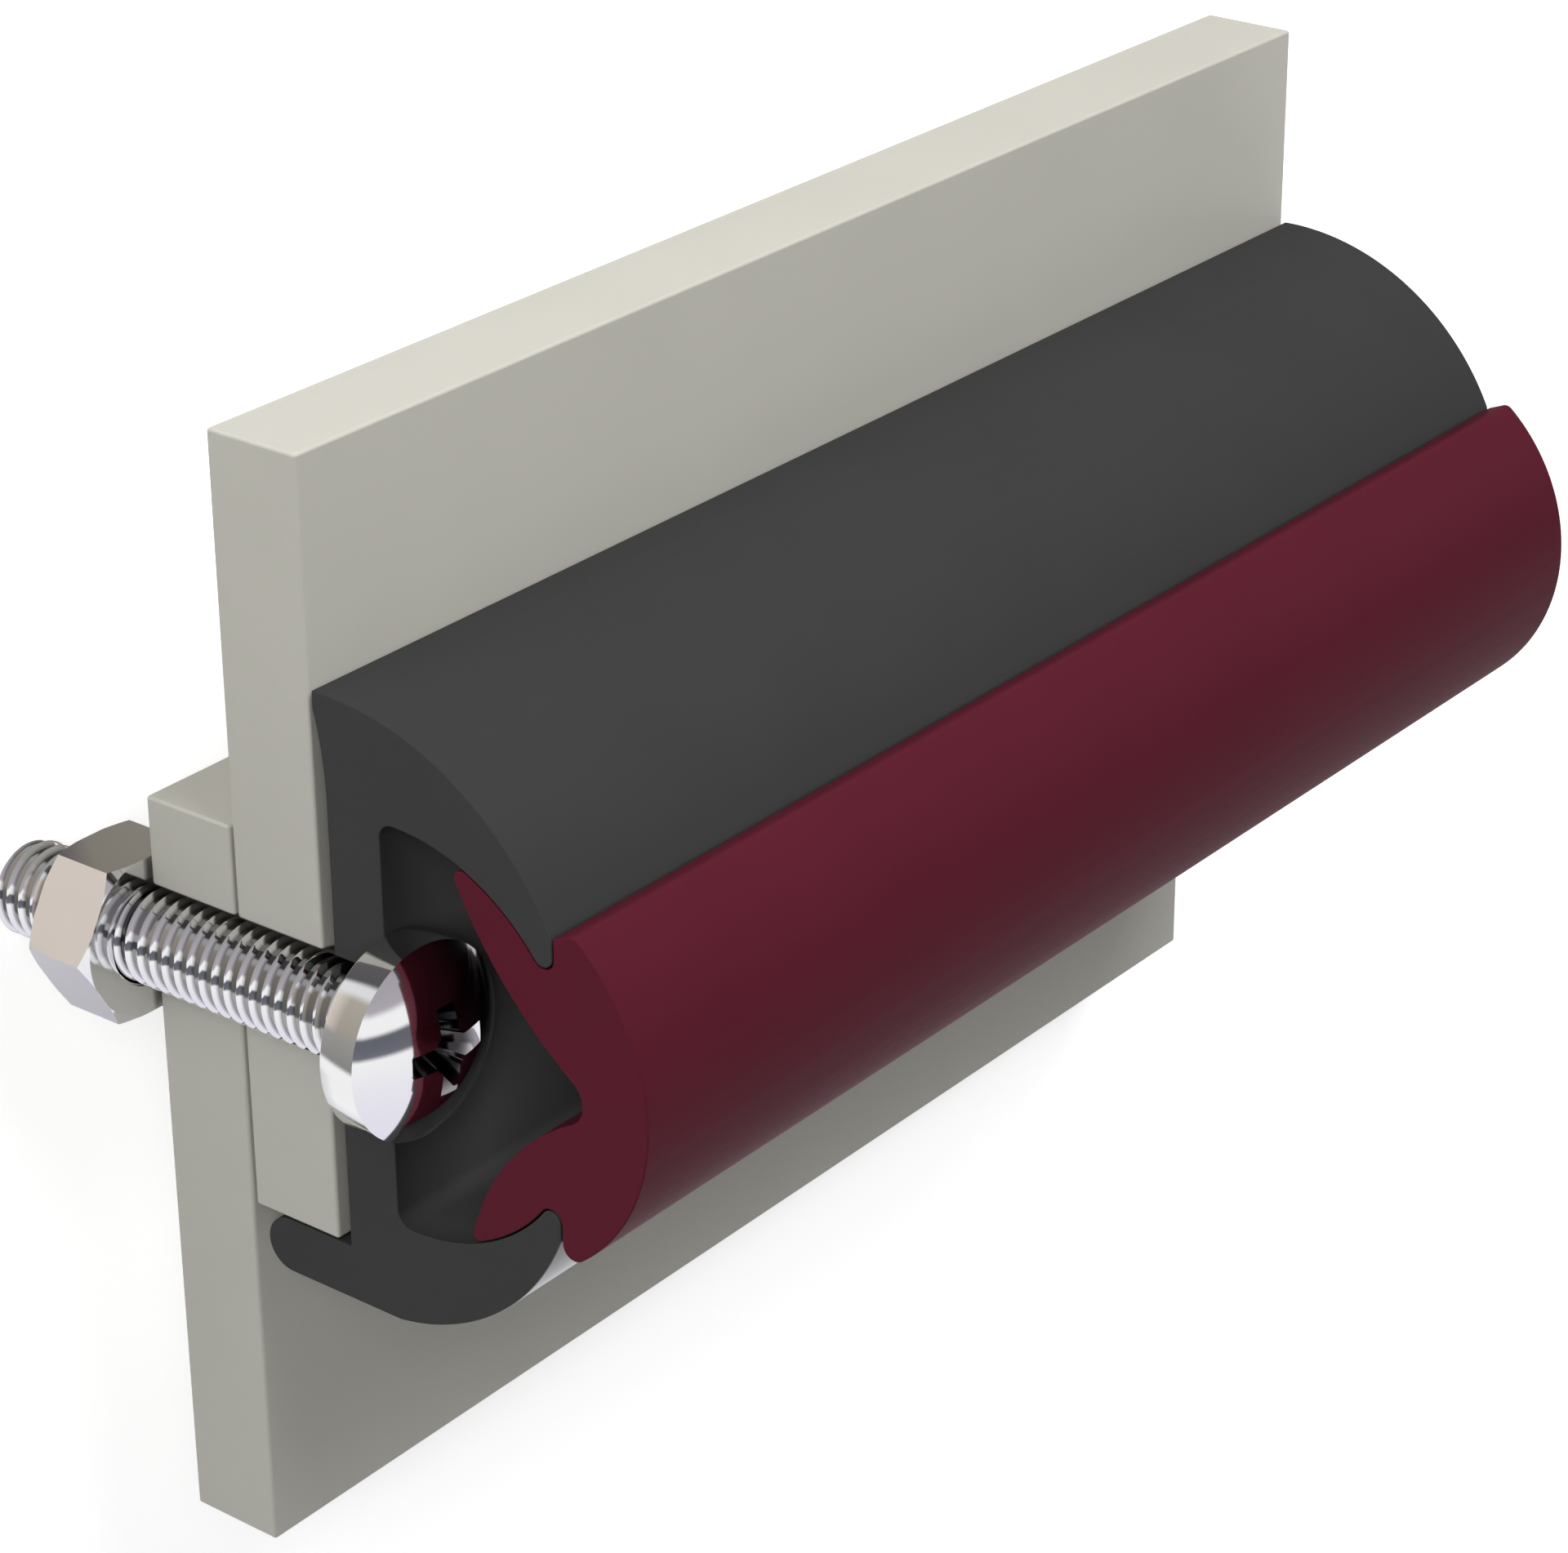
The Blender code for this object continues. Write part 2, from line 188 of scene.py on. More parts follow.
# %% [markdown]
# ## Turned shapes
# A screw head, a nut's blank and a drilled hole are all round: half a section spun about an axis. The
# Screw modifier does that without any pole to close by hand, and `laid_across` lays the shape along the
# screw's line, with its top towards the rail's nose.

# %% Turned shapes
CUT_PAST = 3.0


def turned(name, outline, steps=96):
    """Spins (radius, height) points, given from top to bottom, about Z."""
    obj = new_mesh(name)
    points = [(radius * MM, 0, height * MM) for radius, height in outline]
    obj.data.from_pydata(points, [(i, i + 1) for i in range(len(points) - 1)], [])
    spin = obj.modifiers.new("spin", "SCREW")
    spin.axis = "Z"
    spin.steps = spin.render_steps = steps
    spin.use_merge_vertices = True
    spin.merge_threshold = WELD * MM
    return edit(plain_mesh(obj), face_outwards)


def laid_across(obj, y):
    """Lays a turned shape on the screw's line, its height 0 at y and its top towards the nose."""
    lay = Matrix.Rotation(math.radians(90), 4, "X")
    obj.data.transform(Matrix.Translation(Vector((0, y, SCREW_Z)) * MM) @ lay)
    return obj


def hole_across(name, radius, back, front):
    """A round cutter on the screw's line that runs a little past y = back and y = front."""
    top = CUT_PAST - back
    bottom = -CUT_PAST - front
    return laid_across(turned(name, [(0, top), (radius, top), (radius, bottom), (0, bottom)]), 0)


# %% [markdown]
# ## The two flanges
# On the boat the flanges are the edges of two big mouldings. Here each is a flat piece of laminate, sawn
# square and cut through the middle of the screw hole. A cube, one cut and a small bevel are enough. The
# hole is cut first, so that the bevel eases its rim too.

# %% Flanges
PLATE_EDGE = 0.22
HOLE_RADIUS = 3.3


def flange(name, front_y, bottom, top):
    obj = new_mesh(name)
    size = Vector((LENGTH, PLATE_THICKNESS, top - bottom))
    middle = Vector((LENGTH / 2, front_y + PLATE_THICKNESS / 2, (top + bottom) / 2))
    place = Matrix.Translation(middle * MM) @ Matrix.Diagonal((*(size * MM), 1))
    edit(obj, lambda cube: bmesh.ops.create_cube(cube, size=1, matrix=place))
    obj = combine(obj, hole_across("hole", HOLE_RADIUS, front_y, front_y + PLATE_THICKNESS), "DIFFERENCE")
    return stand(ease_edges(obj, PLATE_EDGE))


deck_flange = flange("deck_flange", 0, 0, DECK_HEIGHT)
hull_flange = flange("hull_flange", hull_front, HULL_BOTTOM, HULL_TOP)

# %% [markdown]
# ## Drawing the sections
# Vinyl profiles are extruded: hot vinyl is pushed through a die, so one outline makes the whole length.
# The outline could be traced point by point, but a die is cut from arcs and straight lines, and arcs stay
# smooth at any zoom. Points are (p, z), where p is the distance out from the deck flange.

# %% Arcs
UPPER_OUTER_ARC = (1.2, 17.55)
UPPER_OUTER_RADIUS = 18.05
LOWER_OUTER_ARC = (2.1, 12.65)
LOWER_OUTER_RADIUS = 16.55
CHANNEL_ARC = (5.9, 15.8)
CHANNEL_RADIUS = 13.0
HOOK_SIDE = 17.4
HOOK_RADIUS = 0.7
ARC_STEP = 1.5
SMALL_ARC_STEP = 9.0


def on_circle(centre, radius, degrees):
    angle = math.radians(degrees)
    return (centre[0] + radius * math.cos(angle), centre[1] + radius * math.sin(angle))


def arc(centre, radius, start, end, step=ARC_STEP):
    count = max(2, math.ceil(abs(end - start) / step))
    return [on_circle(centre, radius, start + (end - start) * i / count) for i in range(count + 1)]


def angle_to(centre, point):
    return math.degrees(math.atan2(point[1] - centre[1], point[0] - centre[0]))


def between(centre, radius, start, end, step=ARC_STEP):
    """The arc of a circle from the direction of one point to the direction of another."""
    return arc(centre, radius, angle_to(centre, start), angle_to(centre, end), step)


def at_p(centre, radius, p, side):
    """The point of a circle at distance p, above (side = 1) or below (side = -1) its centre."""
    return (p, centre[1] + side * math.sqrt(radius ** 2 - (p - centre[0]) ** 2))


def meeting(first, first_radius, second, second_radius, side):
    """Where two circles cross: the crossing on the left (side = 1) or right of first to second."""
    dp = second[0] - first[0]
    dz = second[1] - first[1]
    apart = math.hypot(dp, dz)
    along = (first_radius ** 2 - second_radius ** 2 + apart ** 2) / (2 * apart)
    across = side * math.sqrt(first_radius ** 2 - along ** 2)
    return (first[0] + (along * dp - across * dz) / apart, first[1] + (along * dz + across * dp) / apart)


def hook_centre(side):
    """Centre of a round hook tip that touches the channel's arc and the hook's flat side."""
    return at_p(CHANNEL_ARC, CHANNEL_RADIUS + HOOK_RADIUS, HOOK_SIDE - HOOK_RADIUS, side)


UPPER_HOOK = hook_centre(1)
LOWER_HOOK = hook_centre(-1)
upper_hook_angle = angle_to(CHANNEL_ARC, UPPER_HOOK)
lower_hook_angle = angle_to(CHANNEL_ARC, LOWER_HOOK)
print("The mouth between the hooks is", round(UPPER_HOOK[1] - LOWER_HOOK[1] - 2 * HOOK_RADIUS, 1), "mm wide")

# %% [markdown]
# ### The base profile
# It is one outline: a web that the screw clamps, a lip that hooks under the deck flange, a half-round
# outside, and two arms that end in rounded hooks. The inside of both arms lies on one circle, so the
# insert can slide in under them.

# %% Base outline
LIP_TOP = -LIP_GAP
LIP_BOTTOM = -3.7
LIP_REACH = -5.8
RELIEF_START = 28.7
RELIEF_END = 34.5
CHANNEL_FILLET = 1.0


def base_outline():
    """From the lip's round end along the outside to the mouth, round the channel, and back over the top."""
    lip_radius = (LIP_TOP - LIP_BOTTOM) / 2
    lip_centre = (LIP_REACH + lip_radius, LIP_BOTTOM + lip_radius)
    bottom_angle = math.degrees(math.asin((LIP_BOTTOM - LOWER_OUTER_ARC[1]) / LOWER_OUTER_RADIUS))
    lower_side = at_p(LOWER_OUTER_ARC, LOWER_OUTER_RADIUS, HOOK_SIDE, -1)
    upper_side = at_p(UPPER_OUTER_ARC, UPPER_OUTER_RADIUS, HOOK_SIDE, 1)
    floor_fillet = at_p(CHANNEL_ARC, CHANNEL_RADIUS - CHANNEL_FILLET, WEB_FRONT + CHANNEL_FILLET, -1)
    top_fillet = at_p(CHANNEL_ARC, CHANNEL_RADIUS - CHANNEL_FILLET, WEB_FRONT + CHANNEL_FILLET, 1)
    floor_angle = angle_to(CHANNEL_ARC, floor_fillet)
    top_angle = angle_to(CHANNEL_ARC, top_fillet)
    relief_depth = WEB_BACK - SEAT_GAP
    relief_rise = RELIEF_END - RELIEF_START
    relief_radius = (relief_depth ** 2 + relief_rise ** 2) / (2 * relief_depth)
    relief_centre = (WEB_BACK - relief_radius, RELIEF_START)
    relief_angle = math.degrees(math.asin(relief_rise / relief_radius))
    lip_tip = at_p(UPPER_OUTER_ARC, UPPER_OUTER_RADIUS, SEAT_GAP, 1)

    points = arc(lip_centre, lip_radius, 90, 270, SMALL_ARC_STEP)
    points += arc(LOWER_OUTER_ARC, LOWER_OUTER_RADIUS, bottom_angle, angle_to(LOWER_OUTER_ARC, lower_side))
    points += arc(LOWER_HOOK, HOOK_RADIUS, 0, 180 + lower_hook_angle, SMALL_ARC_STEP)
    points += arc(CHANNEL_ARC, CHANNEL_RADIUS, lower_hook_angle, floor_angle)[1:]
    points += arc(floor_fillet, CHANNEL_FILLET, floor_angle % 360, 180, SMALL_ARC_STEP)[1:]
    points += arc(top_fillet, CHANNEL_FILLET, 180, top_angle, SMALL_ARC_STEP)
    points += arc(CHANNEL_ARC, CHANNEL_RADIUS, top_angle, upper_hook_angle)[1:]
    points += arc(UPPER_HOOK, HOOK_RADIUS, 180 + upper_hook_angle, 360, SMALL_ARC_STEP)[1:]
    points += between(UPPER_OUTER_ARC, UPPER_OUTER_RADIUS, upper_side, lip_tip)
    points += arc(relief_centre, relief_radius, relief_angle, 0)
    points += [(WEB_BACK, LIP_TOP)]
    return points


print("The base's outline has", len(base_outline()), "points")

# %% [markdown]
# ### The insert
# The insert is a round nose on two curved tongues. It is pressed in from the front: the tongues fold
# together, pass the hooks and spring apart behind them. So its back follows the base's hook circles with
# a small gap, and only its free faces have arcs of their own.

# %% Insert outline
NOSE_ARC = (10.9, 15.9)
NOSE_RADIUS = 13.05
CREST_RADIUS = 0.6
CREST_Z = 25.45
CREST_END = 116.0
TOE_RADIUS = 0.85
TONGUE_TIP_RADIUS = 0.55
TONGUE_FACE_ARC = (33.8, 37.8)
TONGUE_FACE_RADIUS = 25.8
FOOT_TIP_RADIUS = 0.4
FOOT_FACE_ARC = (26.4, 0.05)
FOOT_FACE_RADIUS = 16.3
APEX_RADIUS = 1.6


def insert_outline():
    """From the toe round the nose to the crest, then back round the hooks and along both tongues."""
    side = HOOK_SIDE + SNAP_GAP
    toe = at_p(NOSE_ARC, NOSE_RADIUS - TOE_RADIUS, side + TOE_RADIUS, -1)
    crest_p = NOSE_ARC[0] + math.sqrt((NOSE_RADIUS - CREST_RADIUS) ** 2 - (CREST_Z - NOSE_ARC[1]) ** 2)
    crest = (crest_p, CREST_Z)
    crest_foot = (side, at_p(UPPER_OUTER_ARC, UPPER_OUTER_RADIUS, HOOK_SIDE, 1)[1])
    catch_radius = CHANNEL_RADIUS - SNAP_GAP
    tongue_tip = meeting(CHANNEL_ARC, catch_radius - TONGUE_TIP_RADIUS,
                         TONGUE_FACE_ARC, TONGUE_FACE_RADIUS - TONGUE_TIP_RADIUS, 1)
    foot_tip = meeting(CHANNEL_ARC, catch_radius - FOOT_TIP_RADIUS,
                       FOOT_FACE_ARC, FOOT_FACE_RADIUS - FOOT_TIP_RADIUS, -1)
    apex = meeting(TONGUE_FACE_ARC, TONGUE_FACE_RADIUS + APEX_RADIUS,
                   FOOT_FACE_ARC, FOOT_FACE_RADIUS + APEX_RADIUS, -1)

    points = arc(toe, TOE_RADIUS, 180, 360 + angle_to(NOSE_ARC, toe), SMALL_ARC_STEP)
    points += between(NOSE_ARC, NOSE_RADIUS, toe, crest)[1:]
    points += arc(crest, CREST_RADIUS, angle_to(NOSE_ARC, crest), CREST_END, SMALL_ARC_STEP)[1:]
    points += [crest_foot]
    points += arc(UPPER_HOOK, HOOK_RADIUS + SNAP_GAP, 0, upper_hook_angle - 180, SMALL_ARC_STEP)
    points += between(CHANNEL_ARC, catch_radius, UPPER_HOOK, tongue_tip)[1:]
    points += arc(tongue_tip, TONGUE_TIP_RADIUS, angle_to(CHANNEL_ARC, tongue_tip),
                  angle_to(TONGUE_FACE_ARC, tongue_tip) % 360, SMALL_ARC_STEP)[1:]
    points += arc(TONGUE_FACE_ARC, TONGUE_FACE_RADIUS, angle_to(TONGUE_FACE_ARC, tongue_tip) % 360,
                  angle_to(TONGUE_FACE_ARC, apex) % 360)[1:]
    points += between(apex, APEX_RADIUS, TONGUE_FACE_ARC, FOOT_FACE_ARC, SMALL_ARC_STEP)[1:]
    points += between(FOOT_FACE_ARC, FOOT_FACE_RADIUS, apex, foot_tip)[1:]
    points += arc(foot_tip, FOOT_TIP_RADIUS, angle_to(FOOT_FACE_ARC, foot_tip),
                  360 + angle_to(CHANNEL_ARC, foot_tip), SMALL_ARC_STEP)[1:]
    points += between(CHANNEL_ARC, catch_radius, foot_tip, LOWER_HOOK)[1:]
    points += arc(LOWER_HOOK, HOOK_RADIUS + SNAP_GAP, 180 + lower_hook_angle, 0, SMALL_ARC_STEP)[1:]
    return points


print("The insert's outline has", len(insert_outline()), "points")

# %% [markdown]
# ### Easing the die's corners
# A die can't make a perfectly sharp corner, and a rounded one catches the light. Each corner that turns
# sharply is replaced by a short curve. The Fillet Curve node would also fillet every point of the arcs,
# so a few lines of Python pick out the true corners.

# %% Corner easing
SHARP_TURN = 25.0


def eased(points, reach=0.14, steps=4):
    """Replaces each sharp corner of a closed outline by a curve that starts and ends reach away from it."""
    made = []
    for i, point in enumerate(points):
        corner = Vector(point)
        arriving = corner - Vector(points[i - 1])
        leaving = Vector(points[(i + 1) % len(points)]) - corner
        if math.degrees(abs(arriving.angle_signed(leaving))) < SHARP_TURN:
            made.append(point)
            continue
        start = corner - arriving.normalized() * min(reach, arriving.length / 2)
        end = corner + leaving.normalized() * min(reach, leaving.length / 2)
        for step in range(steps + 1):
            t = step / steps
            made.append(tuple(start.lerp(corner, t).lerp(corner.lerp(end, t), t)))
    return made


# %% [markdown]
# ## Geometry Nodes in a script
# The two profiles and the screw thread follow simple rules, and Geometry Nodes suit a rule: the sizes
# become named inputs, and one tree makes every copy. A modifier's inputs are set by the socket's
# identifier, because names may repeat.

# %% Node helpers
def link_in(tree, socket, value):
    """Feeds a socket from another node's output, or sets it to a plain value."""
    if isinstance(value, bpy.types.NodeSocket):
        tree.links.new(value, socket)
    else:
        socket.default_value = value


def new_node(tree, kind, inputs=None, **settings):
    node = tree.nodes.new(kind)
    for setting, value in settings.items():
        setattr(node, setting, value)
    for key, value in (inputs or {}).items():
        link_in(tree, node.inputs[key], value)
    return node


def calc(tree, operation, first, second=0.0, third=0.0):
    inputs = {0: first, 1: second, 2: third}
    return new_node(tree, "ShaderNodeMath", inputs, operation=operation).outputs[0]


def parts_of(tree, vector):
    """A vector's X, Y and Z."""
    return new_node(tree, "ShaderNodeSeparateXYZ", {0: vector}).outputs


def product(tree, first, *others):
    for other in others:
        first = calc(tree, "MULTIPLY", first, other)
    return first


def new_tree(name, kind, inputs, outputs):
    """A Geometry or Shader tree whose inputs and outputs are given as {name: kind of socket}."""
    tree = bpy.data.node_groups.new(name, kind + "NodeTree")
    for in_out, sockets in (("INPUT", inputs), ("OUTPUT", outputs)):
        for socket, socket_kind in sockets.items():
            tree.interface.new_socket(socket, in_out=in_out, socket_type="NodeSocket" + socket_kind)
    return tree, new_node(tree, "NodeGroupInput").outputs


def modifier_tree(name, sizes):
    """A tree with a geometry, one float for each size and a material in, and a geometry out."""
    inputs = {"Geometry": "Geometry", **dict.fromkeys(sizes, "Float"), "Material": "Material"}
    return new_tree(name, "Geometry", inputs, {"Geometry": "Geometry"})


def close_tree(tree, geometry, material):
    real = new_node(tree, "GeometryNodeRealizeInstances", {"Geometry": geometry}).outputs[0]
    finish = new_node(tree, "GeometryNodeSetMaterial", {"Geometry": real, "Material": material})
    new_node(tree, "NodeGroupOutput", {"Geometry": finish.outputs[0]})
    print("The", tree.name, "tree has", len(tree.nodes), "nodes")


def grown(obj, tree, material, **values):
    """Runs a tree on an object and returns the result as a plain mesh object."""
    modifier = obj.modifiers.new(tree.name, "NODES")
    modifier.node_group = tree
    values["Material"] = material
    for item in tree.interface.items_tree:
        if item.in_out == "INPUT" and item.name in values:
            modifier[item.identifier] = values[item.name]
    return plain_mesh(obj)


# %% [markdown]
# ## Materials
# Four finishes cover the sample: gelcoat on the flanges, charcoal vinyl, burgundy vinyl and chrome.
# Patterns read Object coordinates, and a Mapping node turns them into the rail's axes, so that lines left
# by the die run along the rail.
#
# Effects that more than one finish uses are node groups. `mottle` is the faint cloudiness of any moulded
# surface, `die_lines` the fine streaks along an extrusion, and `grain` a small bump. `sawn_ends` marks the
# two cut faces. The channel's group is for painted light: it marks the channel's walls, which are coloured
# paler where shade falls inside, fading out towards the open ends. A mask could be painted on the mesh
# too, but a rule stays sharp at any zoom and follows the sizes.

# %% Effect groups
CHANNEL_SKIN = 0.05
SAW_DEPTH = 0.03
LINE_STRETCH = 0.012


def noise(tree, vector, scale, detail, roughness=0.5):
    inputs = {"Vector": vector, "Scale": scale, "Detail": detail, "Roughness": roughness}
    return new_node(tree, "ShaderNodeTexNoise", inputs).outputs["Fac"]


def stretched(tree, vector, factors):
    inputs = {0: vector, 1: factors}
    return new_node(tree, "ShaderNodeVectorMath", inputs, operation="MULTIPLY").outputs[0]


def distance(tree, spot, centre):
    """How far a spot is from a centre given in millimetres."""
    inputs = {0: spot, 1: Vector(centre) * MM}
    return new_node(tree, "ShaderNodeVectorMath", inputs, operation="DISTANCE").outputs["Value"]


def from_line(tree, spot, circle_centre):
    """How far a spot is from the line along the rail through a point (p, z) of the section."""
    p, z = circle_centre
    return distance(tree, stretched(tree, spot, (0.0, 1.0, 1.0)), (0.0, -p, z))


def fade(tree, value, start, end):
    """A ramp from 0 at start to 1 at end, both in millimetres."""
    inputs = {"Value": value, "From Min": start * MM, "From Max": end * MM}
    return new_node(tree, "ShaderNodeMapRange", inputs).outputs[0]


def mottle_group():
    """Lightens and darkens a colour in soft clouds."""
    inputs = {"Color": "Color", "Vector": "Vector", "Scale": "Float", "Amount": "Float"}
    group, given = new_tree("mottle", "Shader", inputs, {"Color": "Color"})
    swing = calc(group, "SUBTRACT", noise(group, given["Vector"], given["Scale"], 4.0, 0.55), 0.5)
    gain = calc(group, "MULTIPLY_ADD", swing, given["Amount"], 1.0)
    scaled = new_node(group, "ShaderNodeVectorMath", {0: given["Color"], "Scale": gain}, operation="SCALE")
    new_node(group, "NodeGroupOutput", {"Color": scaled.outputs[0]})
    return group


def die_lines_group():
    """Streaks along the rail, as a value about 0.5."""
    inputs = {"Vector": "Vector", "Scale": "Float"}
    group, given = new_tree("die_lines", "Shader", inputs, {"Value": "Float"})
    drawn_out = stretched(group, given["Vector"], (LINE_STRETCH, 1.0, 1.0))
    new_node(group, "NodeGroupOutput", {"Value": noise(group, drawn_out, given["Scale"], 5.0, 0.6)})
    return group


def grain_group():
    """A fine bump from noise."""
    inputs = {"Vector": "Vector", "Scale": "Float", "Depth": "Float"}
    group, given = new_tree("grain", "Shader", inputs, {"Normal": "Vector"})
    height = noise(group, given["Vector"], given["Scale"], 3.0)
    bump = new_node(group, "ShaderNodeBump", {"Height": height, "Distance": given["Depth"], "Strength": 1.0})
    new_node(group, "NodeGroupOutput", {"Normal": bump.outputs["Normal"]})
    return group


def sawn_ends_group():
    """1 on the two sawn end faces of the rail and 0 elsewhere."""
    group, given = new_tree("sawn_ends", "Shader", {"Vector": "Vector"}, {"Mask": "Float"})
    x = parts_of(group, given["Vector"])["X"]
    from_middle = calc(group, "ABSOLUTE", calc(group, "SUBTRACT", x, LENGTH / 2 * MM))
    mask = calc(group, "GREATER_THAN", from_middle, (LENGTH / 2 - SAW_DEPTH) * MM)
    new_node(group, "NodeGroupOutput", {"Mask": mask})
    return group


def channel_painted_light_group():
    """Where light is painted: 0 outside the channel and at its two ends, and up to 1 on its walls from Reach
    inwards.
    """
    inputs = {"Vector": "Vector", "Reach": "Float"}
    group, given = new_tree("channel_painted_light", "Shader", inputs, {"Mask": "Float"})
    place = parts_of(group, given["Vector"])
    radius = from_line(group, given["Vector"], CHANNEL_ARC)
    in_circle = calc(group, "LESS_THAN", radius, (CHANNEL_RADIUS + CHANNEL_SKIN) * MM)
    before_web = calc(group, "LESS_THAN", place["Y"], (CHANNEL_SKIN - WEB_FRONT) * MM)
    from_end = calc(group, "MINIMUM", place["X"], calc(group, "SUBTRACT", LENGTH * MM, place["X"]))
    deep = new_node(group, "ShaderNodeMapRange", {"Value": from_end, "From Max": given["Reach"]}).outputs[0]
    new_node(group, "NodeGroupOutput", {"Mask": product(group, in_circle, before_web, deep)})
    return group


mottle = mottle_group()
die_lines = die_lines_group()
grain = grain_group()
sawn_ends = sawn_ends_group()
channel_painted_light = channel_painted_light_group()
print("Effect groups:", [group.name for group in (mottle, die_lines, grain, sawn_ends, channel_painted_light)])

# %% [markdown]
# Every material starts from one Principled shader. What is the same all over is set on the shader itself.

# %% Material helpers
def feed(tree, shader, **inputs):
    """Sets or links a shader's inputs, written with _ for each space in their names."""
    for name, value in inputs.items():
        link_in(tree, shader.inputs[name.replace("_", " ")], value)


def new_material(name, **inputs):
    material = bpy.data.materials.new(name)
    material.use_nodes = True
    shader = material.node_tree.nodes["Principled BSDF"]
    feed(material.node_tree, shader, **inputs)
    return material, material.node_tree, shader


def seen_from(tree, matrix):
    """Object coordinates after a move and turn, which a Mapping node makes."""
    spot = new_node(tree, "ShaderNodeTexCoord").outputs["Object"]
    inputs = {"Vector": spot, "Location": matrix.translation, "Rotation": matrix.to_euler("XYZ")}
    return new_node(tree, "ShaderNodeMapping", inputs).outputs[0]


def mix_colours(tree, factor, first, second):
    """The Mix node keeps its colour sockets behind the ones for numbers and vectors."""
    return new_node(tree, "ShaderNodeMix", {0: factor, 6: first, 7: second}, data_type="RGBA").outputs[2]


def use_group(tree, group, **inputs):
    return new_node(tree, "ShaderNodeGroup", inputs, node_tree=group).outputs[0]


def coat(obj, material):
    obj.data.materials.clear()
    obj.data.materials.append(material)
    print(obj.name, "is finished in", material.name)


# %% [markdown]
# ### Gelcoat
# Gelcoat is the hard pale skin of a laminate. It is smooth and satin, with a faint cloudiness and a fine
# waviness from the mould that shows only in its sheen. A plain colour would pass for painted metal, so
# both come from noise.

# %% Gelcoat
def gelcoat_material():
    material, tree, shader = new_material("satin_gelcoat", Roughness=0.45, Specular_IOR_Level=0.35)
    spot = seen_from(tree, RAIL.inverted())
    colour = use_group(tree, mottle, Color=(0.450, 0.441, 0.395, 1), Vector=spot, Scale=60.0, Amount=0.10)
    normal = use_group(tree, grain, Vector=spot, Scale=900.0, Depth=0.00001)
    feed(tree, shader, Base_Color=colour, Normal=normal)
    return material


gelcoat = gelcoat_material()
coat(deck_flange, gelcoat)
coat(hull_flange, gelcoat)

# %% [markdown]
# ### Vinyl
# One function makes both vinyls. The die leaves fine lines along the rail, and the two sawn ends are a
# little paler and rougher. The channel's walls get painted light: a paler colour where shade falls inside.
# The outside of the base's lower arm shines. A second material could do that, but a coat with a mask as
# its weight needs no faces picked out.

# %% Vinyl
CAVITY_LIGHT_REACH = 8.0
FLANK_START = 8.0
FLANK_SKIN = 0.05
HOOK_MARGIN = 0.1


def lower_flank(tree, spot):
    """1 on the outside of the base's lower arm and 0 elsewhere."""
    place = parts_of(tree, spot)
    radius = from_line(tree, spot, LOWER_OUTER_ARC)
    outside = calc(tree, "GREATER_THAN", radius, (LOWER_OUTER_RADIUS - FLANK_SKIN) * MM)
    below = calc(tree, "LESS_THAN", place["Z"], (LOWER_HOOK[1] + HOOK_MARGIN) * MM)
    in_front = calc(tree, "LESS_THAN", place["Y"], -FLANK_START * MM)
    return product(tree, outside, below, in_front)


def vinyl_material(name, colour, end_colour, cavity_light_colour, roughness, gloss, glossy_flank=False):
    material, tree, shader = new_material(name, Specular_IOR_Level=gloss, Coat_Roughness=0.15)
    spot = seen_from(tree, RAIL.inverted())
    ends = use_group(tree, sawn_ends, Vector=spot)
    lines = use_group(tree, die_lines, Vector=spot, Scale=1400.0)
    painted_cavity_light = use_group(tree, channel_painted_light, Vector=spot, Reach=CAVITY_LIGHT_REACH * MM)
    # Painted light: the channel's walls are mixed towards a paler colour, to lift the shade that falls
    # inside.
    mixed = mix_colours(tree, painted_cavity_light, mix_colours(tree, ends, colour, end_colour), cavity_light_colour)
    tinted = use_group(tree, mottle, Color=mixed, Vector=spot, Scale=90.0, Amount=0.16)
    streaked = calc(tree, "MULTIPLY_ADD", lines, 0.16, roughness - 0.08)
    feed(tree, shader, Base_Color=tinted, Roughness=calc(tree, "MULTIPLY_ADD", ends, 0.1, streaked),
         Normal=use_group(tree, grain, Vector=spot, Scale=2600.0, Depth=0.000004))
    if glossy_flank:
        feed(tree, shader, Coat_Weight=lower_flank(tree, spot))
    return material


charcoal_vinyl = vinyl_material("charcoal_vinyl_skin", colour=(0.0335, 0.0335, 0.0340, 1),
                                end_colour=(0.0440, 0.0440, 0.0445, 1), cavity_light_colour=(0.15, 0.15, 0.15, 1),
                                roughness=0.60, gloss=0.06, glossy_flank=True)
burgundy_vinyl = vinyl_material("burgundy_vinyl_skin", colour=(0.0735, 0.0092, 0.0180, 1),
                                end_colour=(0.092, 0.0110, 0.0225, 1), cavity_light_colour=(0.10, 0.020, 0.034, 1),
                                roughness=0.50, gloss=0.045)
print("Vinyl finishes:", charcoal_vinyl.name, burgundy_vinyl.name)

# %% [markdown]
# ### Chrome
# Chrome is a bare mirror: nearly all of its look is what it reflects. A little unevenness in its roughness
# keeps it from looking like glass. The roots of the thread and the cross recess get painted shade: their
# colour is darkened where shade falls. Both are found from the screw's own sizes: how far a point is from
# the axis, and how far under the head's dome, which is part of a sphere.

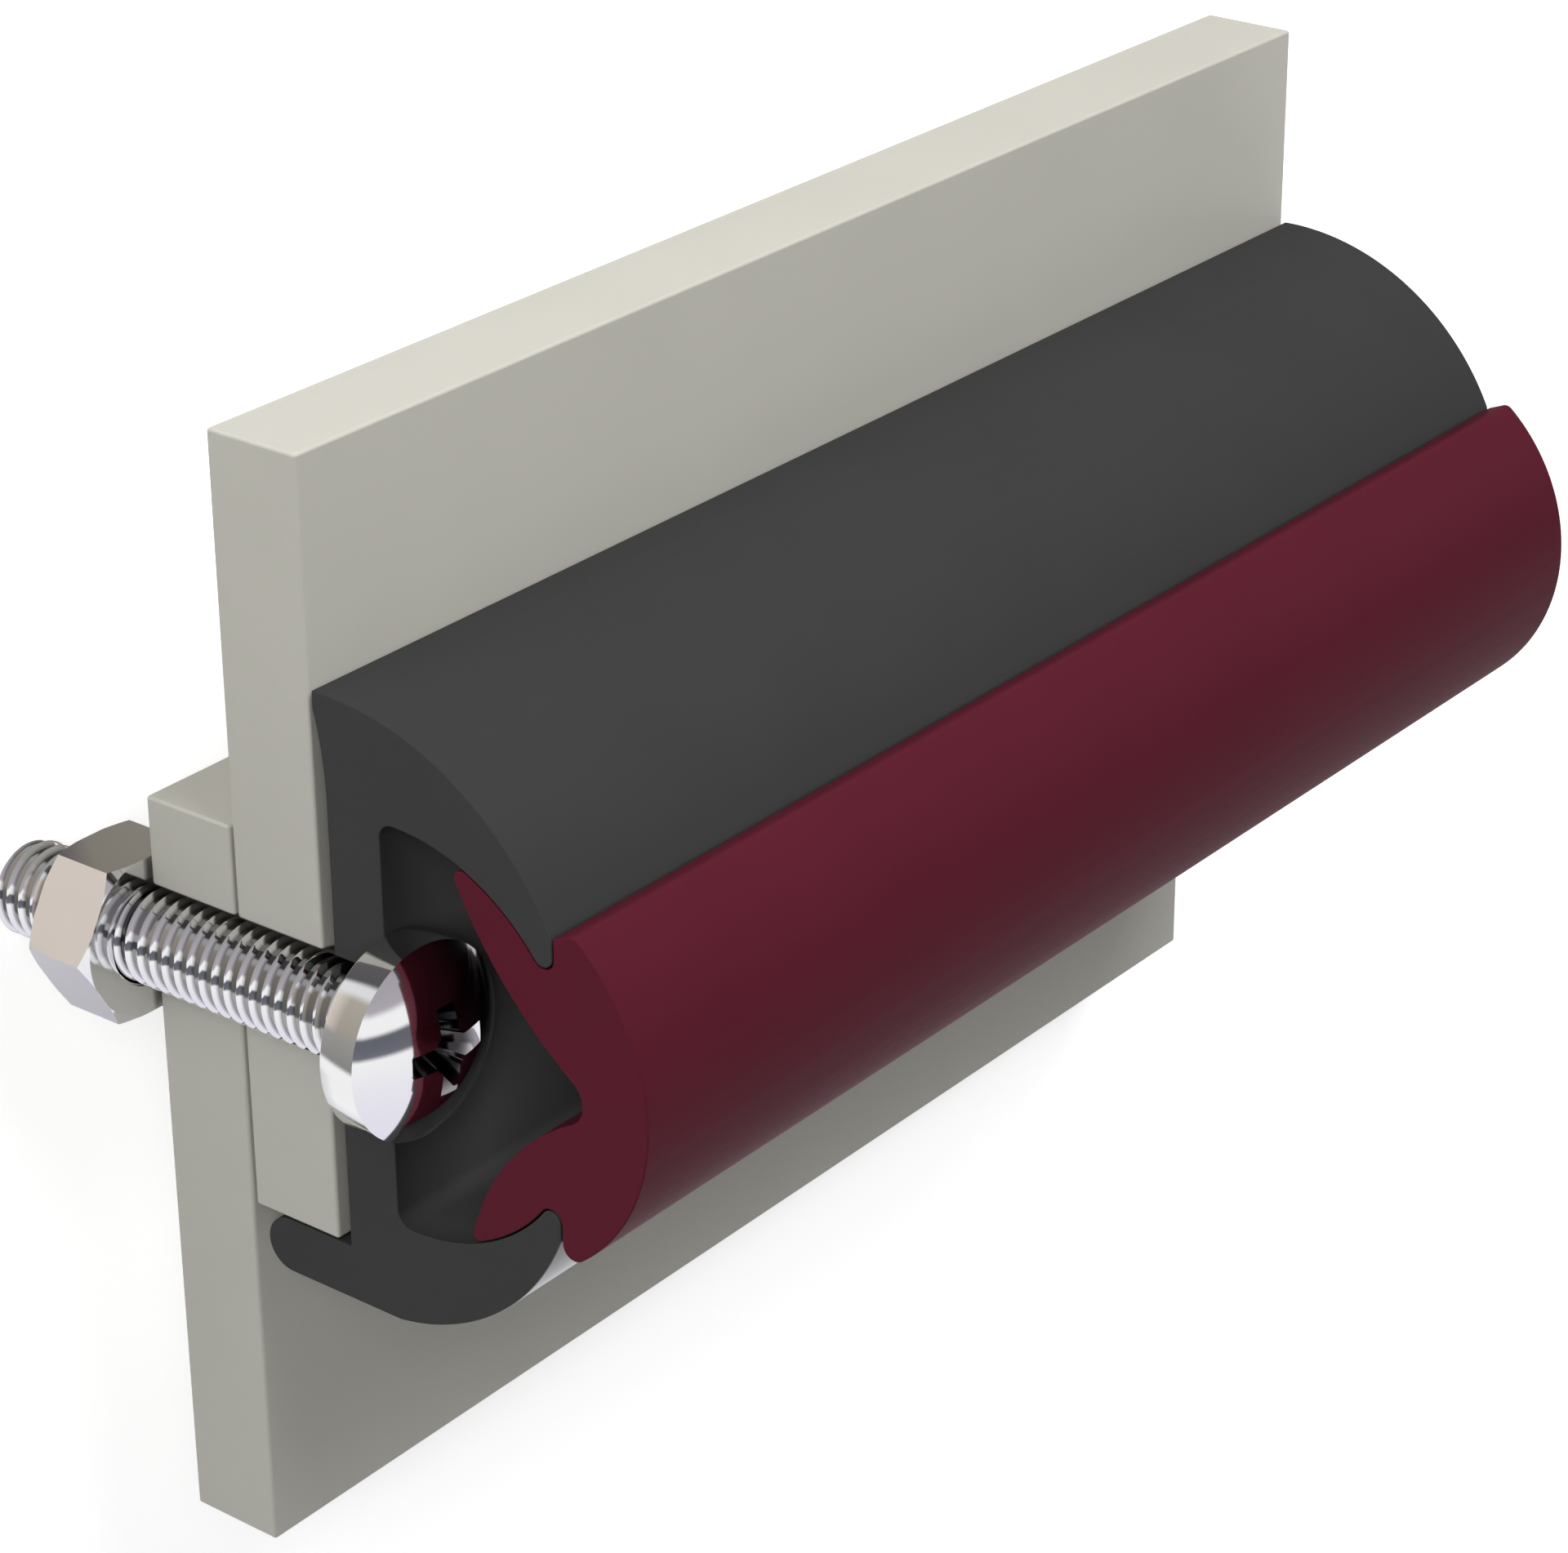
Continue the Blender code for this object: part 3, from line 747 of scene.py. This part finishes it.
# %% Chrome
CHROME = (0.86, 0.86, 0.87)
HOLLOW_SHADE = 0.40
ROOT_EDGE = 2.70
CREST_EDGE = 2.84
TIP_MARGIN = 0.05
HEAD_RADIUS = 6.0
HEAD_HEIGHT = 4.6
HEAD_RIM = 2.5
WING_TOP = (3.1, 0.72)
DOME_RISE = HEAD_HEIGHT - HEAD_RIM
DOME_RADIUS = (HEAD_RADIUS ** 2 + DOME_RISE ** 2) / (2 * DOME_RISE)
DOME_CENTRE = HEAD_HEIGHT - DOME_RADIUS
RECESS_DARK = 0.9
RECESS_MARGIN = 0.2


def thread_root_shade(tree, spot, radius):
    """Painted shade for the thread: 1 in the roots of the screw's thread and 0 on its crests and everywhere
    else.
    """
    depth = fade(tree, radius, CREST_EDGE, ROOT_EDGE)
    off_tip = calc(tree, "GREATER_THAN", radius, (TIP_RADIUS + TIP_MARGIN) * MM)
    behind_head = calc(tree, "GREATER_THAN", parts_of(tree, spot)["Y"], bearing_y * MM)
    return product(tree, depth, off_tip, behind_head)


def recess_shade(tree, spot, radius):
    """Painted shade for the cross recess: 0 on the head's dome, and 1 deeper than RECESS_DARK below it."""
    reach = distance(tree, spot, (0.0, bearing_y - DOME_CENTRE, SCREW_Z))
    depth = fade(tree, reach, DOME_RADIUS - RECESS_MARGIN, DOME_RADIUS - RECESS_DARK)
    within = calc(tree, "LESS_THAN", radius, (WING_TOP[0] + RECESS_MARGIN) * MM)
    before_seat = calc(tree, "LESS_THAN", parts_of(tree, spot)["Y"], (bearing_y - RECESS_MARGIN) * MM)
    return product(tree, depth, within, before_seat)


def chrome_material():
    material, tree, shader = new_material("bright_chrome", Metallic=1.0)
    spot = seen_from(tree, RAIL.inverted())
    radius = distance(tree, stretched(tree, spot, (1.0, 0.0, 1.0)), (0.0, 0.0, SCREW_Z))
    # Painted shade: the thread's roots and the cross recess are coloured darker, where shade falls.
    painted_hollow_shade = calc(tree, "MAXIMUM", thread_root_shade(tree, spot, radius), recess_shade(tree, spot, radius))
    shaded_chrome = [channel * HOLLOW_SHADE for channel in CHROME]
    plated_and_shaded = mix_colours(tree, painted_hollow_shade, (*CHROME, 1), (*shaded_chrome, 1))
    colour = use_group(tree, mottle, Color=plated_and_shaded, Vector=spot, Scale=300.0, Amount=0.05)
    roughness = calc(tree, "MULTIPLY_ADD", noise(tree, spot, 700.0, 3.0), 0.06, 0.04)
    feed(tree, shader, Base_Color=colour, Roughness=roughness)
    return material


chrome = chrome_material()
print("The head's dome has a radius of", round(DOME_RADIUS, 2), "mm")

# %% [markdown]
# ## Pushing the outlines along the rail
# The tree takes the outline as a curve, draws a straight line as long as the rail, and sweeps one along
# the other with Curve to Mesh. Extrude Mesh on a filled outline would also work, but it leaves its first
# face open. The line along X turns the outline's own x to -Y and its y to -Z, so it is drawn as (p, -z).

# %% The extrusion tree
SAWN_EDGE = 0.1
SAWN_ANGLE = 60


def extrusion_tree():
    tree, given = modifier_tree("profile_along_rail", ["Length"])
    end = new_node(tree, "ShaderNodeCombineXYZ", {"X": given["Length"]}).outputs[0]
    line = new_node(tree, "GeometryNodeCurvePrimitiveLine", {"End": end}).outputs[0]
    sweep = new_node(tree, "GeometryNodeCurveToMesh",
                     {"Curve": line, "Profile Curve": given["Geometry"], "Fill Caps": True})
    close_tree(tree, sweep.outputs[0], given["Material"])
    return tree


extrusion = extrusion_tree()


def extruded(name, outline, material):
    curve = bpy.data.curves.new(name, "CURVE")
    curve.dimensions = "3D"
    spline = curve.splines.new("POLY")
    spline.points.add(len(outline) - 1)
    for point, (p, z) in zip(spline.points, outline):
        point.co = (p * MM, -z * MM, 0, 1)
    spline.use_cyclic_u = True
    obj = grown(show(curve, name), extrusion, material, Length=LENGTH * MM)
    return edit(obj, face_outwards)


rail_base = extruded("rail_base", eased(base_outline()), charcoal_vinyl)
rail_base = combine(rail_base, hole_across("web_hole", HOLE_RADIUS, -WEB_FRONT, -WEB_BACK), "DIFFERENCE")
rail_base = stand(ease_edges(rail_base, SAWN_EDGE, angle=SAWN_ANGLE))
rail_insert = extruded("rail_insert", eased(insert_outline()), burgundy_vinyl)
rail_insert = stand(ease_edges(rail_insert, SAWN_EDGE, angle=SAWN_ANGLE))

# %% [markdown]
# ## The thread
# A thread is a groove that climbs one pitch each turn. Sweeping a small triangle along a spiral gives a
# separate ridge that has to be joined to the shank. Bending a flat grid is neater: one side of the grid
# goes round the shank, the other along it, and each column is raised by its share of a pitch, so the rows
# follow the helix exactly. The radius depends only on the row. This screw's thread is about half as deep
# as a standard one, with narrow crests between wide roots.

# %% The thread tree
PITCH = 1.0
THREAD_DEPTH = 0.32 * PITCH
THREAD_CREST = 0.08 * PITCH
THREAD_ROOT = 0.38 * PITCH
STEPS_AROUND = 72
STEPS_PER_TURN = 16
LAST_ROW = 0.49999
ROUGH_END = 1.5


def thread_tree():
    sizes = ["Radius", "Pitch", "Depth", "Crest", "Root", "Turns", "Bottom"]
    tree, given = modifier_tree("thread", sizes)
    rows = calc(tree, "MULTIPLY_ADD", given["Turns"], STEPS_PER_TURN, 1.0)
    grid = new_node(tree, "GeometryNodeMeshGrid", {"Size X": 1.0, "Size Y": 1.0,
                                                   "Vertices X": STEPS_AROUND + 1, "Vertices Y": rows})
    place = parts_of(tree, new_node(tree, "GeometryNodeInputPosition").outputs[0])
    across = calc(tree, "ADD", place["X"], 0.5)
    along = calc(tree, "ADD", place["Y"], 0.5)

    turns = calc(tree, "MULTIPLY", along, given["Turns"])
    from_crest = calc(tree, "ABSOLUTE", calc(tree, "SUBTRACT", calc(tree, "FRACT", turns), 0.5))
    from_crest = calc(tree, "MULTIPLY", from_crest, given["Pitch"])
    flank_start = calc(tree, "DIVIDE", given["Crest"], 2.0)
    flank_end = calc(tree, "DIVIDE", calc(tree, "SUBTRACT", given["Pitch"], given["Root"]), 2.0)
    bottom = calc(tree, "SUBTRACT", given["Radius"], given["Depth"])
    radius = new_node(tree, "ShaderNodeMapRange",
                      {"Value": from_crest, "From Min": flank_start, "From Max": flank_end,
                       "To Min": given["Radius"], "To Max": bottom}).outputs[0]

    inside = calc(tree, "LESS_THAN", calc(tree, "ABSOLUTE", place["Y"]), LAST_ROW)
    radius = calc(tree, "MULTIPLY", radius, inside)
    angle = calc(tree, "MULTIPLY", across, math.tau)
    height = calc(tree, "MULTIPLY_ADD", calc(tree, "ADD", turns, across), given["Pitch"], given["Bottom"])
    inputs = {"X": product(tree, radius, calc(tree, "COSINE", angle)),
              "Y": product(tree, radius, calc(tree, "SINE", angle)), "Z": height}
    point = new_node(tree, "ShaderNodeCombineXYZ", inputs).outputs[0]
    bent = new_node(tree, "GeometryNodeSetPosition", {"Geometry": grid.outputs["Mesh"], "Position": point})
    inputs = {"Geometry": bent.outputs[0], "Distance": WELD * MM}
    merged = new_node(tree, "GeometryNodeMergeByDistance", inputs)
    close_tree(tree, merged.outputs[0], given["Material"])
    return tree


thread = thread_tree()


def close_seams(mesh):
    """The first and last turn each leave one flat gap, where the grid's two sides don't meet yet."""
    bmesh.ops.holes_fill(mesh, edges=[edge for edge in mesh.edges if edge.is_boundary])
    bmesh.ops.recalc_face_normals(mesh, faces=mesh.faces)


def threaded_rod(name, radius, bottom, top):
    """A closed rod with a thread on it, whose two ends are left rough for a blank to trim."""
    turns = math.ceil((top - bottom) / PITCH) + 2
    obj = grown(new_mesh(name), thread, chrome, Radius=radius * MM, Pitch=PITCH * MM,
                Depth=THREAD_DEPTH * MM, Crest=THREAD_CREST * MM, Root=THREAD_ROOT * MM,
                Turns=float(turns), Bottom=(bottom - ROUGH_END) * MM)
    return edit(obj, close_seams)


# %% [markdown]
# ## The machine screw
# The head is turned: a short cylinder under a shallow dome. Its cross recess has four wings that narrow
# towards the bottom: tapered blocks and a small cone, cut from the head. The shank is the threaded rod,
# kept only inside a turned blank with a chamfered tip, and reaches a little way into the head to join it.

# %% Screw head and shank
HEAD_EDGE = 0.12
RECESS_DEPTH = 3.2
WING_BOTTOM = (1.0, 0.42)
CONE_TOP = 1.5
CONE_BOTTOM = 0.55
CONE_POINT = 0.4
CONE_PAST = 0.5
ROD_TOP = 1.0
SHANK_JOIN = 0.6
BLANK_MARGIN = 0.3


def head_outline():
    centre = (0.0, DOME_CENTRE)
    dome = arc(centre, DOME_RADIUS, 90, angle_to(centre, (HEAD_RADIUS, HEAD_RIM)), 2.0)
    dome[0] = (0.0, HEAD_HEIGHT)
    third = HEAD_EDGE / 3
    edge = [(HEAD_RADIUS, HEAD_EDGE), (HEAD_RADIUS - third, third), (HEAD_RADIUS - HEAD_EDGE, 0)]
    return dome + edge + [(0, 0)]


def wing(angle):
    """One bar of the cross: a block whose bottom is shorter and narrower than its top."""
    obj = new_mesh("wing")
    edit(obj, lambda block: bmesh.ops.create_cube(block, size=2))
    for vertex in obj.data.vertices:
        length, width = WING_TOP if vertex.co.z > 0 else WING_BOTTOM
        height = HEAD_HEIGHT if vertex.co.z > 0 else HEAD_HEIGHT - RECESS_DEPTH
        vertex.co = Vector((vertex.co.x * length, vertex.co.y * width, height)) * MM
    obj.data.transform(Matrix.Rotation(math.radians(angle), 4, "Z"))
    return obj


def recess_cutter():
    cross = combine(wing(0), wing(90), "UNION")
    top = HEAD_HEIGHT + CONE_PAST
    bottom = HEAD_HEIGHT - RECESS_DEPTH
    outline = [(0, top), (CONE_TOP, top), (CONE_BOTTOM, bottom), (0, bottom - CONE_POINT)]
    return combine(cross, turned("recess_middle", outline, 24), "UNION")


def screw():
    head = turned("pan_head_screw", head_outline(), 128)
    head = combine(head, recess_cutter(), "DIFFERENCE")
    shank = threaded_rod("shank", SHANK_RADIUS, -SHANK_LENGTH, ROD_TOP)
    outside = SHANK_RADIUS + BLANK_MARGIN
    chamfer_top = BLANK_MARGIN - SHANK_LENGTH + TIP_CHAMFER
    outline = [(0, SHANK_JOIN), (outside, SHANK_JOIN), (outside, chamfer_top),
               (TIP_RADIUS, -SHANK_LENGTH), (0, -SHANK_LENGTH)]
    shank = combine(shank, turned("blank", outline), "INTERSECT")
    return combine(head, shank, "UNION")


pan_head_screw = stand(smooth(clear_slivers(laid_across(screw(), bearing_y))))
coat(pan_head_screw, chrome)

# %% [markdown]
# ## The nut
# A hexagon bar is faced off and its corners are turned back at both ends, which leaves the curved lines on
# its flats. Keeping what a hexagon and a turned blank share gives the same lines. Two shallow cones open
# the bore, and the tap is a slightly bigger threaded rod, so the nut's thread follows the screw's.

# %% Nut
NUT_ACROSS_FLATS = 10.0
NUT_CORNER = NUT_ACROSS_FLATS / 2 / math.cos(math.radians(30))
NUT_HEIGHT = 4.8
NUT_FACE_RADIUS = 5.1
NUT_CHAMFER = math.radians(30)
TAP_CLEARANCE = 0.05
CORNER_MARGIN = 0.2
SINK_WIDTH = 0.25
SINK_PAST = 0.5
SINK_INTO = 0.6


def nut_blank():
    corner = NUT_CORNER + CORNER_MARGIN
    drop = (corner - NUT_FACE_RADIUS) * math.tan(NUT_CHAMFER)
    half = NUT_HEIGHT / 2
    return turned("nut_blank", [(0, half), (NUT_FACE_RADIUS, half), (corner, half - drop),
                                (corner, drop - half), (NUT_FACE_RADIUS, -half), (0, -half)], 120)


def countersink(end):
    """A cone of 45 degrees that opens the nut's bore at its top (end = 1) or bottom (end = -1)."""
    top = NUT_HEIGHT / 2 + SINK_PAST
    bottom = NUT_HEIGHT / 2 - SINK_INTO
    mouth = SHANK_RADIUS + SINK_WIDTH
    outline = [(0, top), (mouth + SINK_PAST, top), (mouth - SINK_INTO, bottom), (0, bottom)]
    cutter = turned("countersink", outline)
    if end < 0:
        cutter.data.transform(Matrix.Rotation(math.pi, 4, "X"))
    return cutter


def nut():
    obj = new_mesh("chamfered_nut")
    corner = NUT_CORNER * MM
    flat_up = Matrix.Rotation(math.radians(30), 4, "Z")
    edit(obj, lambda bar: bmesh.ops.create_cone(bar, cap_ends=True, segments=6, radius1=corner,
                                                radius2=corner, depth=(NUT_HEIGHT + 1) * MM, matrix=flat_up))
    obj = combine(obj, nut_blank(), "INTERSECT")
    for end in (1, -1):
        obj = combine(obj, countersink(end), "DIFFERENCE")
    return obj


nut_middle = hull_back + SEAT_GAP + NUT_HEIGHT / 2
chamfered_nut = laid_across(nut(), nut_middle)
tap = threaded_rod("tap", SHANK_RADIUS + TAP_CLEARANCE, -SHANK_LENGTH, ROD_TOP)
chamfered_nut = combine(chamfered_nut, laid_across(tap, bearing_y), "DIFFERENCE")
chamfered_nut = stand(smooth(clear_slivers(chamfered_nut)))
coat(chamfered_nut, chrome)

# %% [markdown]
# ## Put the pieces in place
# Each finished piece rides on the sample's one body and hides the solid that it stands for.

# %% Pieces and what they replace
for piece, node, finish in ((deck_flange, "deck_plate", "gelcoat"),
                            (hull_flange, "hull_plate", "gelcoat"),
                            (rail_base, "base_profile", "charcoal_vinyl"),
                            (rail_insert, "insert_profile", "burgundy_vinyl"),
                            (pan_head_screw, "machine_screw", "chrome"),
                            (chamfered_nut, "hex_nut", "chrome")):
    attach(piece, "root")
    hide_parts(node)
    print(piece.name, "stands for", node)

# %% [markdown]
# ## What the chrome sees
# A photographer stands cards of grey and white round small bright parts, because a mirror shows only what
# is near it. Real cards would shade the sample, so here they are painted: the floor and the sky have bands
# that only glossy rays see. The floor's go round the foot of the screw, close in for the nut and further
# out for the head's rim. The sky's run from the sample's underside to its top.

# %% Reflected bands
NUT_RING = ((0, 45, 44, 42), (4, 32, 30, 27), (10, 28, 26, 22), (21, 24, 22, 18.5), (25, 12, 11, 12),
            (31, 10, 10, 10), (32.5, 82, 82, 83), (35, 82, 82, 83), (37, 74, 66, 60), (46.5, 72, 64, 57),
            (48.5, 38, 35, 33), (56, 30, 30, 29), (57.5, 100, 100, 100), (60, 100, 100, 100),
            (62.5, 62, 61, 66), (73.5, 50, 49, 53), (78, 85, 85, 88), (100, 45, 44, 42))
HEAD_RING = ((0, 45, 44, 42), (4, 30, 28, 25), (9, 24, 22, 18), (17, 22, 21, 19), (25, 12, 11, 12),
             (31, 10, 10, 10), (32.5, 80, 80, 81), (35, 80, 80, 81), (37, 46, 42, 36), (46, 40, 36, 31),
             (48.5, 34, 33, 31), (56, 27, 27, 26), (57.5, 100, 100, 100), (70, 100, 100, 100),
             (75, 82, 82, 86), (86, 85, 85, 88), (100, 45, 44, 42))
SKY_BANDS = ((0, 85, 83, 93), (20, 92, 91, 97), (36, 100, 100, 100), (38.5, 16, 16.5, 20),
             (49, 13, 13.5, 16), (51.5, 100, 100, 100), (60, 100, 100, 100), (63.5, 46, 43, 47),
             (80, 40, 38, 41), (100, 35, 34, 33))
NUT_RING_RADIUS = 24.0
HEAD_RING_RADIUS = 34.0


def bands(tree, value, stops):
    """A Color Ramp with a stop for each (place, red, green, blue) in percent."""
    ramp = new_node(tree, "ShaderNodeValToRGB", {0: value})
    elements = ramp.color_ramp.elements
    while len(elements) < len(stops):
        elements.new(1.0)
    for element, stop in zip(elements, stops):
        element.position, *colour = [share / 100 for share in stop]
        element.color = (*colour, 1)
    return ramp.outputs[0]


def floor_bands(tree):
    """The floor's colour in reflections, by direction and distance from the screw's foot."""
    foot = RAIL @ Vector((0, 0, SCREW_Z * MM))
    foot.z = 0.0
    spot = seen_from(tree, Matrix.Translation(-foot))
    place = parts_of(tree, spot)
    angle = calc(tree, "ARCTAN2", place["Y"], place["X"])
    share = calc(tree, "FRACT", calc(tree, "DIVIDE", angle, math.tau))
    outer = fade(tree, distance(tree, spot, (0, 0, 0)), NUT_RING_RADIUS, HEAD_RING_RADIUS)
    return mix_colours(tree, outer, bands(tree, share, NUT_RING), bands(tree, share, HEAD_RING))


def sky_bands(tree):
    """The sky's colour in reflections, by how far up the hull side a ray points."""
    way = parts_of(tree, new_node(tree, "ShaderNodeTexCoord").outputs["Generated"])
    return bands(tree, calc(tree, "MULTIPLY_ADD", way["Y"], 0.5, 0.5), SKY_BANDS)


print("Bands round the nut and head and in the sky:", len(NUT_RING), len(HEAD_RING), len(SKY_BANDS))

# %% [markdown]
# ## Floor and sky
# The floor is plain and pale. It glows a little on the sample, and more to the camera, so that it comes
# out white with only a trace of shadow. A Light Path node tells the kinds of ray apart.

# %% Floor and sky
FLOOR_GLOW = 0.03
FLOOR_LIFT = 0.5
FLOOR_SIZE = 3.0
SKY_STRENGTH = 0.10


def swap_for_glossy_rays(tree, usual, reflected, output):
    """Ends a tree with one shader for most rays and another for the glossy ones."""
    glossy = new_node(tree, "ShaderNodeLightPath").outputs["Is Glossy Ray"]
    inputs = {0: glossy, 1: usual.outputs[0], 2: reflected.outputs[0]}
    both = new_node(tree, "ShaderNodeMixShader", inputs)
    tree.links.new(both.outputs[0], tree.nodes[output].inputs["Surface"])


def floor_material():
    material, tree, shader = new_material("pale_floor", Base_Color=(0.90, 0.90, 0.90, 1), Roughness=0.9,
                                          Specular_IOR_Level=0.0, Emission_Color=(1, 1, 1, 1))
    to_camera = new_node(tree, "ShaderNodeLightPath").outputs["Is Camera Ray"]
    feed(tree, shader, Emission_Strength=calc(tree, "MULTIPLY_ADD", to_camera, FLOOR_LIFT, FLOOR_GLOW))
    reflected = new_node(tree, "ShaderNodeEmission", {"Color": floor_bands(tree)})
    swap_for_glossy_rays(tree, shader, reflected, "Material Output")
    return material


floor = new_mesh("floor")
edit(floor, lambda plane: bmesh.ops.create_grid(plane, x_segments=1, y_segments=1, size=FLOOR_SIZE))
coat(floor, floor_material())

world = bpy.data.worlds.new("studio")
world.use_nodes = True
sky = world.node_tree
soft_sky = sky.nodes["Background"]
feed(sky, soft_sky, Color=(1, 1, 1, 1), Strength=SKY_STRENGTH)
banded_sky = new_node(sky, "ShaderNodeBackground", {"Color": sky_bands(sky), "Strength": 1.0})
swap_for_glossy_rays(sky, soft_sky, banded_sky, "World Output")

scene = bpy.context.scene
scene.world = world
scene.view_settings.view_transform = "Standard"

# %% [markdown]
# ## Lights
# A large soft light on the deck side does most of the work, a weaker one stands near the camera, a small
# one picks out the cut end, and the last keeps the nose side from going dark. Their sizes matter more than
# their number: broad lights give the vinyl its even tone. Neither the camera nor the chrome sees them.
# Places and sizes are in metres in the room, and powers in watts.

# %% Lights
LIGHT_AIM = Vector((0, 0, 0.02))
LIGHTS = (("deck_side", (0.09, 0.42, 0.27), (0.4, 0.3), 2.65),
          ("camera_side", (-0.40, 0.22, 0.32), (0.3, 0.3), 1.32),
          ("cut_end", (-0.20, 0.22, 0.06), (0.1, 0.1), 0.12),
          ("nose_side", (0.30, -0.50, 0.16), (0.4, 0.3), 1.35))

for name, place, (width, height), power in LIGHTS:
    light = bpy.data.lights.new(name, "AREA")
    light.shape = "RECTANGLE"
    light.size = width
    light.size_y = height
    light.energy = power
    lamp = show(light, name)
    lamp.location = place
    lamp.rotation_euler = (LIGHT_AIM - Vector(place)).to_track_quat("-Z", "Y").to_euler()
    lamp.visible_camera = False
    lamp.visible_glossy = False
    print(name, "is", round((LIGHT_AIM - Vector(place)).length, 2), "m away")

# %% [markdown]
# ## Camera
# The camera stands where the photograph was taken from, given in the rail's axes: the angles of its line
# of sight, the point that it looks at and its distance. It is tipped with the sample, so the picture shows
# the rail upright, though it lies on its back.

# %% Camera
SIGHT_TURN = math.radians(-51.72)
SIGHT_DROP = math.radians(25.74)
CAMERA_ROLL = math.radians(-0.43)
CAMERA_AIM = (25.53, -13.41, 24.34)
CAMERA_DISTANCE = 266.97
CAMERA_LENS = 104.36
SENSOR_WIDTH = 36.0

sight = Vector((-math.sin(SIGHT_TURN) * math.cos(SIGHT_DROP), math.cos(SIGHT_TURN) * math.cos(SIGHT_DROP),
                -math.sin(SIGHT_DROP)))
level = sight.cross(Vector((0, 0, 1))).normalized()
upright = level.cross(sight)
right = level * math.cos(CAMERA_ROLL) + upright * math.sin(CAMERA_ROLL)
up = right.cross(sight)
eye = (Vector(CAMERA_AIM) - sight * CAMERA_DISTANCE) * MM

camera_data = bpy.data.cameras.new("camera")
camera_data.lens = CAMERA_LENS
camera_data.sensor_fit = "HORIZONTAL"
camera_data.sensor_width = SENSOR_WIDTH
camera_data.clip_start = 0.01
camera = show(camera_data, "camera")
axes = Matrix((right, up, -sight)).transposed().to_4x4()
camera.matrix_world = RAIL @ Matrix.Translation(eye) @ axes
scene.camera = camera
print("The camera is", round((RAIL @ eye).z, 3), "m above the floor")

# %% [markdown]
# ## Update the scene
# The last line brings the view layer up to date.

# %% Update the scene
bpy.context.view_layer.update()
